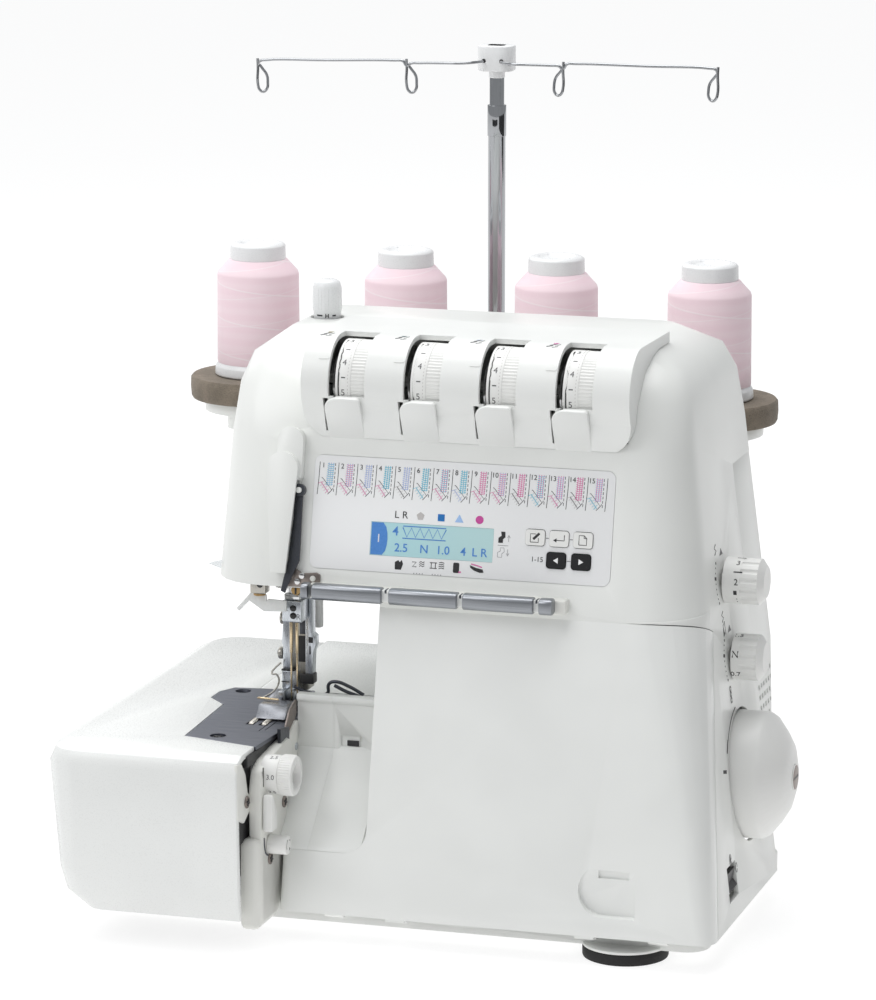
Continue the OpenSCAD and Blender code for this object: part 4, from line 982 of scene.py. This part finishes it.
def across(outline, x0, x1, finish, round_by=0.25):
    """A bar along X with its outline in Y and Z."""
    return coat(slab(outline, x1 - x0, axes((x0, 0, 0), (0, 1, 0), (0, 0, 1)), round_by), finish)


def lump(low, high, finish, round_by=0.4):
    return coat(block(low, high, round_by), finish)


def needle_group():
    """Clamp block with two set screws and the two gilded needles."""
    x, y = NEEDLE_X, NEEDLE_Y
    made = [lump((x - 4.6, y - 6, 151.5), (x + 6.0, y + 5.5, 163), clamp_metal, 0.7),
            lump((x - 3.8, y - 5, 163.2), (x + 4.8, y + 5, 166.5), bright_metal, 0.8),
            bar(bright_metal, (x, y, 163), (x, y, 190), 3.5)]
    for z in (155.2, 159.2):
        made.append(bar(black_gloss, (x + 1.6, y - 6.6, z), (x + 1.6, y - 5.0, z), 1.75, 24, 0.3))
        made.append(bar(black_satin, (x + 1.6, y - 6.8, z), (x + 1.6, y - 6.5, z), 0.8, 6, 0))
    front = axes((x, y - 6.0, 0), (1, 0, 0), (0, 0, 1))
    for text, at in (("L", (-2.2, 158.8)), ("R", (4.4, 154.6))):
        made.append(coat(figures(text, 4.2, 0.05, front, at, base=0.01), SOFT))
    for side in (-1.6, 1.6):
        made.append(bar(needle_gold, (x + side, y, 134), (x + side, y, 152), 0.8, 20, 0.1))
        made.append(bar(needle_gold, (x + side, y, 113), (x + side, y, 134), 0.48, 20, 0.1))
        made.append(bar(needle_gold, (x + side, y, 109), (x + side, y, 113), 0.08, 20, 0, 0.48))
    for z, turn in ((168.5, 0), (172.0, 40), (175.0, 80)):
        turns = [turn + math.tau * k / 8 for k in range(8)]
        coil = [(x - 3 + 5 * math.cos(a), y - 4 + 3 * math.sin(a), z + 0.3 * k) for k, a in enumerate(turns)]
        made.append(bend(bright_metal, coil, 0.55))
    made.append(bar(bronze_metal, (x + 3.5, y - 7.5, 169.2), (x + 3.5, y - 3, 169.2), 2.6, 30, 0.4))
    made.append(lump((x + 3.0, y - 7.8, 167.2), (x + 4.0, y - 7.3, 171.2), black_satin, 0.1))
    stand_in("needle_clamp", made, "needle_bar")


def presser_group():
    """Tall foot holder of steel plates, its bar, spring and wire guides."""
    made = [bar(bright_metal, (-73, -46, 150), (-73, -46, 250), 3.5),
            upright([(-78.6, 113), (-73.4, 113), (-73.4, 151), (-78.2, 151), (-79.2, 137), (-78.6, 136)], -46,
                    7, clamp_metal),
            lump((-73.8, -50.5, 112), (-65.5, -40, 168), guide_metal),
            lump((-70.8, -50.9, 127), (-66.6, -50.3, 141), black_satin, 0.15),
            lump((-70.0, -50.8, 142), (-66.0, -50.3, 149.5), dark_metal, 0.15),
            upright([(-66.2, 117), (-62.6, 117), (-62.0, 133), (-60.6, 137), (-60.6, 141.5), (-62.4, 143),
                     (-62.4, 168), (-66.2, 168)], -47, 6, clamp_metal),
            lump((-64.4, -53.3, 138.2), (-62.0, -52.8, 141.2), black_satin, 0.1),
            lump((-64.0, -53.2, 132.0), (-63.2, -52.9, 136.4), black_satin, 0.1),
            lump((-78.7, -54.6, 113), (-70.5, -46, 122.6), clamp_metal, 0.5),
            lump((-78.9, -54.8, 122.6), (-72.0, -47, 123.4), black_satin, 0.1),
            lump((-78.9, -54.7, 116.4), (-74.6, -54.2, 117.0), black_satin, 0.05),
            lump((-69.0, -54, 116), (-61.6, -47, 121.4), black_satin, 0.8)]
    made.append(bar(guide_metal, (-79.0, -50, 131), (-81.6, -50, 131), 3.2, 30, 0.6))
    made.append(bar(dark_metal, (-81.4, -50, 131), (-82.2, -50, 131), 1.6, 20, 0.2))
    made.append(bar(guide_metal, (-78.6, -50, 150), (-80.4, -50, 150), 3.4, 30, 0.5))
    made.append(bend(guide_metal, [(-79, -55, 127), (-82, -56, 124), (-83.4, -57, 121.4), (-80.4, -58, 121),
                                   (-79.2, -58, 118), (-81, -60, 113), (-86, -64, 109.6)], 0.5))
    stand_in("presser_bar", made, "presser")


def foot_group():
    """Dark presser foot with a sloping toe, an open needle way and a wire finger."""
    made = [across([(-84.5, 103.9), (-78.0, 109.8), (-66, 109.8), (-66, 104.0), (-78, 103.5)], -83.5, -67.2,
                   foot_metal, 0.5),
            across([(-66.5, 103.6), (-66.5, 109.0), (-50, 111.5), (-36, 107.4), (-36, 103.6)], -83.5, -76.0,
                   foot_metal, 0.5),
            lump((-76.2, -54, 103.6), (-66.0, -37, 108.6), foot_metal, 0.6),
            lump((-78.0, -63, 108.0), (-74.8, -52, 113.4), clamp_metal, 0.5),
            lump((-73.4, -58, 107.0), (-70.8, -51, 112.6), clamp_metal, 0.5)]
    made.append(bend(needle_gold, [(-86.6, -66.5, 110.2), (-87.2, -68, 110.4), (-86.6, -69, 110.7),
                                   (-75.4, -69.8, 110.7)], 0.62))
    stand_in("presser_foot", made, "presser")


def head_guide_group():
    """Under the head: a clear fin, guide plates with a dark strip of painted shadow above them, a block whose
    bore is a black disc of painted shade, and the clear threader arm.
    """
    made = [upright([(-113.4, 181.4), (-105, 183.8), (-102, 183.4), (-102, 178.4), (-105, 178.8)], -70, 1.2,
                    clear_fin, 0.1),
            lump((-105.4, -66, 174.6), (-97.2, -62.6, 176.6), clamp_metal, 0.5),
            lump((-92.8, -65, 174.4), (-86.2, -61, 176.4), dark_metal, 0.4),
            # painted shadow: a dark strip laid above the guide plates where shadow falls under the head
            lump((-104, -64, 176.4), (-86, -58, 178), dark_metal, 0.3),
            lump((-88.6, -76, 168.0), (-80.2, -68.4, 176.2), guide_metal, 0.7),
            # painted shade: a black disc stands for the dark inside of the block's bore
            bar(black_gloss, (-83.2, -76.2, 173), (-83.2, -75.0, 173), 1.7, 24, 0.1),
            bar(dark_metal, (-84.2, -72, 176), (-84.2, -72, 179), 1.8, 20, 0.1),
            bar(bronze_metal, (-84.6, -72.2, 166.6), (-84.6, -72.2, 168.2), 3.2, 30, 0.4),
            upright([(-97.8, 158.4), (-96.4, 157.2), (-90.8, 163.0), (-82.8, 157.8), (-70.5, 158.4),
                     (-70.5, 163.9), (-80.6, 164.4), (-81.4, 163.0), (-81.4, 166.4),
                     (-88.8, 168.6)], -69.6, 1.6, threader_white, 0.2),
            bar(cap_white, (-64.6, -36, 142.8), (-64.6, -36, 179), 2.7, 30, 0.9)]
    made.append(upright([(-63.5, 177.4), (-45.6, 177.4), (-44.6, 179.0), (-44.6, 184.4), (-46.4, 185.4),
                         (-54, 184.6), (-58.6, 187.4), (-60.6, 190),
                         (-63.5, 186)], -92.6, 1.6, bronze_brown, 0.3))
    made.append(bar(inner_white, (-48.2, -94.9, 182.4), (-48.2, -94.0, 182.4), 1.5, 24, 0.2))
    for z, x in ((183.0, -60.5), (180.4, -56.5), (183.6, -54.0)):
        made.append(bar(bright_metal, (x, -95.2, z), (x, -93.6, z), 1.6, 24, 0.3))
    stand_in("head_guides", made, "machine")


needle_group()
presser_group()
foot_group()
head_guide_group()


# ---------------------------------------------------------------- needle plate, pocket and small controls

PLATE = ((-107, -126), (-65, -137), (-64, -116), (-62.8, -95), (-62.8, -84), (-66, -64), (-70, -40),
         (-96, -19), (-116, -22), (-121, -32), (-121, -46), (-110, -58))
PLATE_SCREW, PLATE_HOLE, POCKET_SPLIT = (-91, -121), (-109.5, -28), -43.0


def screw_head(centre, radius, finish, way=(1, 0, 0)):
    """Domed screw with a crossed slot, facing along way."""
    c, w = Vector(centre), Vector(way)
    side = Vector((0, 0, 1)) if abs(w.z) < 0.5 else Vector((0, 1, 0))
    made = [bar(finish, c, c + w * 1.0, radius, 30, 0.5)]
    for turn in (0.4, 0.4 + math.pi / 2):
        arm = side * math.cos(turn) + side.cross(w) * math.sin(turn)
        made.append(bar(black_satin, c + w * 1.0 - arm * radius * 0.6, c + w * 1.0 + arm * radius * 0.6,
                        radius * 0.16, 8, 0))
    return made


def needle_plate():
    """Slate plate with two tooth slots, two fine slits and its countersunk screws."""
    plate = coat(slab(list(PLATE), 2.0, FLAT, 0.25, base=BED_Z - 2.0), plate_metal)
    for x0, x1, y0, y1 in ((-85.2, -80.8, -95, -73), (-78.2, -73.8, -95, -73), (-74.2, -73.7, -106, -80),
                           (-71.6, -71.1, -104, -80), (-73.6, -66.4, -66, -54)):
        cut(plate, slab(rounded(x0, x1, y0, y1, 0.2, 2), 8, FLAT, base=BED_Z - 5))
    for x, y in (PLATE_SCREW, PLATE_HOLE):
        cut(plate, rod((x, y, BED_Z - 5), (x, y, BED_Z + 3), 4.2, 40, 0))
    bpy.ops.mesh.customdata_custom_splitnormals_clear()
    smooth(plate, 15)
    made = [plate, bar(bright_metal, (*PLATE_HOLE, BED_Z - 3), (*PLATE_HOLE, BED_Z - 1.4), 3.3, 30, 0.4)]
    made += screw_head((*PLATE_SCREW, BED_Z - 1.9), 4.0, dark_metal, (0, 0, 1))
    made.append(across([(-79, 114), (-79, 107), (-84, 101), (-93, 92.5), (-98, 93.5), (-95.6, 104),
                        (-90, 110.5)], -63.6, -62.5,
                       bronze_brown, 0.2))
    stand_in("needle_plate", made, "machine")


def feed_dog_set():
    """Two toothed bars that stand in the plate's slots."""
    made = [lump((-86, -94, 86), (-73, -76, 94), clamp_metal, 0.5),
            lump((-84, -80, 80), (-78, 30, 86), clamp_metal, 0.5)]
    for x in (-83, -76):
        made.append(lump((x - 1.3, -92.5, 92), (x + 1.3, -75.5, BED_Z - 0.2), guide_metal, 0.15))
        for k in range(8):
            y = -92.2 + k * 2.1
            made.append(across([(y, BED_Z - 0.4), (y + 1.9, BED_Z - 0.4), (y + 1.5, BED_Z + 0.7)], x - 1.3,
                               x + 1.3, guide_metal, 0.05))
    stand_in("feed_dogs", made)


def inner_wall_set():
    """Rounded block that carries the small controls, the fixed part of the pocket and its screws."""
    made = [across([(-146, 12), (-120, 12), (-114, 20), (-108, 50), (-100, 80), (-95, 92), (-97, 97.5),
                    (-102, 99.5), (-136, 96), (-144, 92), (-147, 83)], -66, -59, inner_white, 1.6),
            across([(-164, 100), (-157, 99), (-151, 92), (-148, 82), (-141, 77), (-146, 71), (-154, 67),
                    (-164, 71)], -67.5, -65.5,
                   inner_white, 0.9),
            lump((-69.5, -152, 10), (-59, -119, 57.5), inner_white, 3.4),
            lump((-68, -150, 95), (-65, -98, 100.8), black_satin, 0.2),
            lump((-65.5, -100, 19), (-62.5, 55, 95), inner_white, 0.4),
            across([(-100, 95), (-100, 19), (-96, 19), (-80, 88), (-79, 103), (-84, 104)], -65.5, -61.5,
                   inner_white, 0.6),
            bar(clamp_metal, (-65, -83, 90), (-61, -83, 90), 2.0, 24)]
    made += [ramp(-62.4, POCKET_SPLIT - 0.02), wall_strip(-62.4, POCKET_SPLIT - 0.02)]
    for x, y, z in ((-65.6, -151, 77.5), (-59.1, -111, 68), (-59.1, -134, 44)):
        made += screw_head((x, y, z), 3.2, bronze_brown)
    made.append(lump((-68.6, -162, 56), (-67.6, -138, 98), black_satin, 0))
    made.append(bend(dark_metal, [(-59, -143, 57), (-59, -142.4, 52), (-59, -140, 48), (-59, -137, 46.5)], 0.5))
    made.append(lump((-59.2, -143.6, 84), (-58.8, -142.9, 94), black_gloss, 0))
    made.append(bend(dark_metal, [(-70, -60, 116), (-65, -60, 114), (-52, -60, 113.4), (-51, -60, 118.6),
                                  (-48, -60, 120), (-40, -60, 118), (-32, -60, 114)], 0.9))
    made.append(bend(dark_metal, [(-48, -60, 118), (-41, -60, 115), (-34, -60, 113)], 0.9))
    stand_in("inner_wall", made, "machine")


def ramp(x0, x1):
    """Sloping floor of the pocket, from its back wall out to the top edge of the cover."""
    return across([(-76, 88.5), (-76, 46), (-119.5, 45.2), (-121.4, 46.2), (-120, 48.5), (-80, 85),
                   (-77.6, 89)], x0, x1, cover_white, 0.05)


def wall_strip(x0, x1):
    """Back wall of the pocket with the lip along its top."""
    return across([(-77.2, 86), (-76, 86), (-73.4, 112), (-73.2, 117), (-79, 117), (-79.4, 115), (-79, 113.8),
                   (-77.4, 112.6)], x0, x1, cover_white, 0.05)


def pocket_set():
    wall = wall_strip(POCKET_SPLIT + 0.02, -13.2)
    cut(wall, slab(rounded(-39, -27.5, 90.5, 96.5, 0.8), 12, axes((0, -70, 0), (1, 0, 0), (0, 0, 1))))
    # painted shade: the small black block in the slot's lower part stands for the dark inside of the slot
    made = [wall, ramp(POCKET_SPLIT + 0.02, -15), lump((-40, -75.4, 89), (-26, -74.8, 98), inner_white, 0),
            lump((-35.6, -77.2, 90.8), (-29.4, -76.2, 93.6), black_satin, 0.1)]
    fit_piece("pocket_shape", made, "looper_cover")


def small_controls():
    """Seam width dial with its figures, the finger lever and the small knob."""
    y, z = -132, 88
    made = [bar(dial_white, (-61.6, y, z), (-52.5, y, z), 10, 64, 0.6),
            bar(dial_white, (-70, y, z), (-61, y, z), 3, 30)]
    grip = bar(dial_white, (-52.6, y, z), (-45, y, z), 10.3, 64, 0.8)
    cut(grip, rod((-49.5, y, z), (-40, y, z), 6.4, 48, 0))
    made.append(grip)
    made.append(bar(bronze_brown, (-50, y, z), (-48.2, y, z), 2.6, 30, 0.5))
    for k in range(48):
        turn = math.tau * k / 48
        rib_y, rib_z = y + 10.3 * math.cos(turn), z + 10.3 * math.sin(turn)
        made.append(bar(dial_white, (-52.0, rib_y, rib_z), (-46, rib_y, rib_z), 0.28, 6, 0.1))
    for text, degrees in (("2.5", 72), ("3.0", 4), ("3.5", -52)):
        made.append(round_print(text, 3.6, (0, y, z), 10, -55.9, degrees, SOFT))
    stand_in("width_dial", made)
    lever = across([(-146.5, 61), (-137.5, 61), (-138, 71), (-142.2, 78), (-144, 81), (-146, 79)], -58.7,
                   -53.2, dial_white, 1.5)
    stand_in("finger_lever", [lever])
    y, z = -135, 52
    made = [bar(dial_white, (-59, y, z), (-48.4, y, z), 5, 48, 0.9),
            bar(dial_white, (-69, y, z), (-59, y, z), 2.5, 24)]
    end = axes((-48.4, y, z), (0, 1, 0), (0, 0, 1))
    made += [coat(figures("+", 3.4, 0.05, end, (1.2, -2.4), base=0.01, weight=0.06), BLACK),
             coat(figures("-", 3.4, 0.05, end, (1.4, 2.6), base=0.01, weight=0.06), BLACK),
             coat(strip(arc_points(3.4, 115, 205), 0.5, 0.05, end, base=0.01), BLACK)]
    stand_in("width_knob", made)


def thread_rail():
    """White ledge under the panel with satin bars and a notched white link between each two."""
    made = [lump((-49, -100.2, 173.4), (87.5, -91.6, 180.6), inner_white, 0.8)]
    for x0, x1 in RAIL_BARS:
        made.append(across(rounded(-107.4, -99.4, 174, 182.2, 2.6), x0, x1, rail_metal, 0.7))
    for (_, x0), (x1, _) in zip(RAIL_BARS[1:], RAIL_BARS[2:]):
        middle = (x0 + x1) / 2
        made.append(lump((x0 - 1, -104.6, 174.8), (x1 + 1, -99, 181.2), cover_white, 0.8))
        made.append(lump((middle - 0.5, -104.8, 179.6), (middle + 0.5, -100, 181.3), dark_metal, 0.1))
    stand_in("thread_rail", made, "machine")


RAIL_BARS = ((-51, -47), (-45, -8), (-4, 32), (35, 72), (75, 82))
thread_rail()
needle_plate()
feed_dog_set()
inner_wall_set()
pocket_set()
small_controls()


# ---------------------------------------------------------------- thread stand

def lathe(profile, centre, sides=72, ease=0.3):
    """A turned shape from its radii and heights, in millimetres, about an upright axis."""
    deselect()
    bpy.ops.mesh.primitive_circle_add(vertices=3, radius=1, fill_type="NOTHING")
    made = bpy.context.object
    made.data.clear_geometry()
    made.data.from_pydata([(r * MM, 0, z * MM) for r, z in profile],
                          [(k, k + 1) for k in range(len(profile) - 1)], [])
    finish_with(made, "SCREW", steps=sides, render_steps=sides, angle=math.tau, use_merge_vertices=True,
                merge_threshold=0.000001, use_normal_calculate=True)
    bpy.ops.object.mode_set(mode="EDIT")
    bpy.ops.mesh.select_all(action="SELECT")
    bpy.ops.mesh.normals_make_consistent(inside=False)
    bpy.ops.object.mode_set(mode="OBJECT")
    made.location = Vector(centre) * MM
    settle(made)
    if ease:
        bevel(made, ease, 3, 25)
    return smooth(made, 50)


def thread_cone(number, x):
    """Cone of thread: white base ring, wound body, white cap with a dished top."""
    base = FOAM_Z + 0.3
    top = base + 74
    centre = (x, CONE_Y, 0)
    ring = lathe([(11.5, base), (23.6, base), (24.4, base + 0.8), (24.0, base + 5), (22.4, base + 7.6),
                  (11.5, base + 7.6)], centre)
    wound = lathe([(12, base + 7.0), (22.6, base + 7.0), (23.0, base + 8), (22.7, top - 17.6),
                   (22.2, top - 16), (16.4, top - 9.6),
                   (15.8, top - 9.2), (12, top - 9.2)], centre, ease=0.0)
    cap = lathe([(15.2, top - 9.4), (15.5, top - 8.8), (15.3, top - 1.6), (14.2, top - 0.5), (12.4, top),
                 (10.6, top - 0.2),
                 (8.6, top - 1.6), (6.0, top - 1.9), (4.6, top - 2.4), (4.4, top - 9)], centre)
    coat(ring, cap_white), coat(wound, pink_thread), coat(cap, cap_white)
    pieces = [ring, wound, cap]
    for k in range(8):
        turn = math.tau * k / 8
        pieces.append(coat(strip([(11.6 * math.cos(turn), 11.6 * math.sin(turn)),
                                  (9.6 * math.cos(turn), 9.6 * math.sin(turn))],
                                 0.5, 0.35, axes((x, CONE_Y, top - 0.75), (1, 0, 0), (0, 1, 0))), cap_white))
    name = f"thread_cone_{number}"
    stand_in(name, pieces)


for cone_number, cone_x in enumerate(CONE_XS, 1):
    thread_cone(cone_number, cone_x)


def foam_discs():
    """Foam discs with softened rims."""
    profile = [(8, FOAM_Z - 12.4), (36.8, FOAM_Z - 12.4), (37.6, FOAM_Z - 11), (38, FOAM_Z - 6),
               (37.8, FOAM_Z - 1.2), (36.8, FOAM_Z), (8, FOAM_Z)]
    discs = [coat(lathe(profile, (x, CONE_Y, 0), 96, 0.0), foam) for x in CONE_XS]
    stand_in("foam_discs", discs, "machine")


foam_discs()


def eye(x, side, top):
    """Long thread eye hanging from the wire, its straight leg outwards."""
    return bend(pole_metal, [(x + side * u, y, top + z) for u, y, z in (
        (0.2, HOOK_Y, 2.2), (0, HOOK_Y, -2), (0, HOOK_Y, -12.5), (-1.0, HOOK_Y, -15.2), (-2.9, HOOK_Y + 0.4,
                                                                                         -16.2),
        (-4.9, HOOK_Y + 0.8, -14.6), (-5.3, HOOK_Y + 1.2, -11), (-4.6, HOOK_Y + 1.6, -7), (-2.0, HOOK_Y + 1.6,
                                                                                           -3.4),
        (-0.4, HOOK_Y + 1.6, -1.4))], 0.8)


def antenna():
    """White guide block on the sliding rod, with smooth chrome wires and their eyes."""
    x, y, top = POLE_X, POLE_Y, POLE_TOP
    made = [coat(slab(rounded(x - 10, x + 10, y - 9, y + 8, 6.4), 14, FLAT, 0.9, base=top - 14), cap_white),
            coat(slab(rounded(x - 5, x + 5, y - 4.4, y + 3.6, 2.4), 0.5, FLAT, 0.2, base=top - 0.5), cap_white),
            bar(cap_white, (x, y, top - 18), (x, y, top - 13), 4.4, 40, 0.4),
            bar(pole_metal, (x, y, 240), (x, y, top - 14), 4.05, 40)]
    for side, out in ((-1, -2.6), (1, 0)):
        made.append(bar(black_satin, (x + side * 5, y - 9.15, WIRE_Z), (x + side * 5, y - 8.8, WIRE_Z), 1.15,
                        20, 0))
        run = [(5, y - 8, 0), (6, y - 12, 0), (9.5, y - 17, 0), (15, HOOK_Y, 0), (22, HOOK_Y, 0),
               (36, HOOK_Y, 0), (40.6, HOOK_Y, -0.2), (42.8, HOOK_Y, -1.6), (45.2, HOOK_Y, 1.0),
               (50, HOOK_Y, 1.4), (90, HOOK_Y, 1.4), (124, HOOK_Y, 1.4), (128, HOOK_Y, 0.6),
               (129, HOOK_Y, -1.4)]
        path = [(x + side * u + (out if u > 20 else 0), v, WIRE_Z + z + out * u / 90) for u, v, z in run]
        made.append(bend(pole_metal, path, 0.8))
        made += [eye(x + side * u + out, side, WIRE_Z + out * u / 90) for u in (43, 129)]
    stand_in("antenna_head", made)


antenna()


def pressure_group():
    """Finely ribbed white knob with the letter and scale of its lower part."""
    x, y = KNOB_X, KNOB_Y
    made = [coat(lathe([(3, 292), (7.1, 292), (7.3, 304.2), (7.7, 305.0), (7.5, 317), (6.8, 319.6),
                        (5.2, 320.8), (0.4, 321)],
                       (x, y, 0), 48, 0.0), cap_white),
            bar(cap_white, (x, y, 228), (x, y, 294), 3.0, 24)]
    for k in range(26):
        turn = math.tau * k / 26
        made.append(bar(cap_white, (x + 7.5 * math.cos(turn), y + 7.5 * math.sin(turn), 305.8),
                        (x + 7.3 * math.cos(turn), y + 7.3 * math.sin(turn), 317), 0.35, 8, 0.1))
    # the lettering runs round the upright axis, reading upright
    for text, size, degrees, up in (("H", 2.9, 0, 302.4), ("\u00b7\u00b7", 3.2, 0, 300.2)):
        made.append(round_print(text, size, (x, y, 0), 7.35, up, degrees, BLACK, UP_FRONT, (0, 0, 1), 0.08,
                                -90))
    for a0, a1 in ((-38, -22), (20, 46)):
        made.append(round_line((x, y, 0), 7.35, 302.2, 303.0, a0, a1, BLACK, UP_FRONT, (0, 0, 1)))
    stand_in("pressure_knob", made)


UP_FRONT = (0.29, -0.957, 0)
pressure_group()


# ---------------------------------------------------------------- floor, light and camera

def studio():
    """A wide pale floor, an even backdrop, soft lamps and the camera."""
    deselect()
    bpy.ops.mesh.primitive_plane_add(size=40, location=(0, 0, 0))
    floor = bpy.context.object
    floor.name = "studio_floor"
    made = Finish("studio_white", (0.93, 0.93, 0.93), 0.7)
    bright = made.node("ShaderNodeEmission", {}, {"Color": (1, 1, 1), "Strength": FLOOR_GLOW})
    blend = made.node("ShaderNodeMixShader", {},
                      {0: FLOOR_SHARE, 1: made.shader.outputs[0], 2: bright.outputs[0]})
    out = next(n for n in made.tree.nodes if n.type == "OUTPUT_MATERIAL")
    made.join(out.inputs["Surface"], blend.outputs[0])
    floor.data.materials.append(made.material)

    world = bpy.data.worlds.new("studio_air")
    bpy.context.scene.world = world
    world.use_nodes = True
    tree = world.node_tree
    ground = tree.nodes["Background"]
    ground.inputs["Color"].default_value = (0.96, 0.98, 1.0, 1.0)
    path = tree.nodes.new("ShaderNodeLightPath")
    level = tree.nodes.new("ShaderNodeMapRange")
    tree.links.new(path.outputs["Is Camera Ray"], level.inputs[0])
    level.inputs[3].default_value, level.inputs[4].default_value = WORLD_LIGHT, BACKDROP
    tree.links.new(level.outputs[0], ground.inputs["Strength"])

    for name, place, aim, size, power in LAMPS:
        deselect()
        bpy.ops.object.light_add(type="AREA", location=place)
        lamp = bpy.context.object
        lamp.name = name
        lamp.data.shape, lamp.data.size, lamp.data.energy = "SQUARE", size, power
        lamp.rotation_mode = "QUATERNION"
        lamp.rotation_quaternion = (Vector(aim) - Vector(place)).to_track_quat("-Z", "Y")

    # dark cards out of the picture: one shades the right side, one shows in the chrome
    for name, place, aim, width, height in CARDS:
        bpy.ops.mesh.primitive_plane_add(size=1, location=place)
        card = bpy.context.object
        card.name = name
        card.rotation_mode = "QUATERNION"
        card.rotation_quaternion = (Vector(aim) - Vector(place)).to_track_quat("Z", "Y")
        card.scale = (width, height, 1)
        card.data.materials.append(black_satin.material)
        card.visible_camera = False

    bpy.ops.object.camera_add()
    camera = bpy.context.object
    right, up, ahead = Vector(CAMERA_RIGHT), Vector(CAMERA_UP), Vector(CAMERA_AHEAD)
    camera.matrix_world = Matrix((
        (right.x, up.x, -ahead.x, CAMERA_PLACE[0]), (right.y, up.y, -ahead.y, CAMERA_PLACE[1]),
        (right.z, up.z, -ahead.z, CAMERA_PLACE[2]), (0, 0, 0, 1)))
    camera.data.sensor_width, camera.data.lens = 36.0, CAMERA_LENS
    camera.data.clip_end = 50
    bpy.context.scene.camera = camera
    bpy.context.scene.view_settings.view_transform = "Standard"


WORLD_LIGHT, BACKDROP = 0.50, 1.1
FLOOR_GLOW, FLOOR_SHARE = 1.15, 0.72
LAMPS = (
    ("key_lamp", (-1.3, -1.5, 1.8), (0, 0, 0.15), 1.4, 15),
    ("top_lamp", (-0.2, 0.2, 2.3), (0, 0, 0.2), 1.8, 34),
    ("rear_lamp", (-1.3, 1.3, 1.4), (0, 0, 0.2), 1.2, 8),
)
CARDS = (
    ("side_card", (0.75, -0.05, 0.2), (0, -0.05, 0.2), 1.3, 0.4),
    ("front_card", (-0.22, -1.28, 0.13), (-0.02, 0.15, 0.13), 1.8, 0.26),
)
CAMERA_LENS = 172.616
CAMERA_PLACE = (0.7046, -2.3684, 0.7191)
CAMERA_RIGHT = (0.95740, 0.28876, 0.0)
CAMERA_UP = (-0.05853, 0.19405, 0.97924)
CAMERA_AHEAD = (-0.28277, 0.93753, -0.20268)
studio()
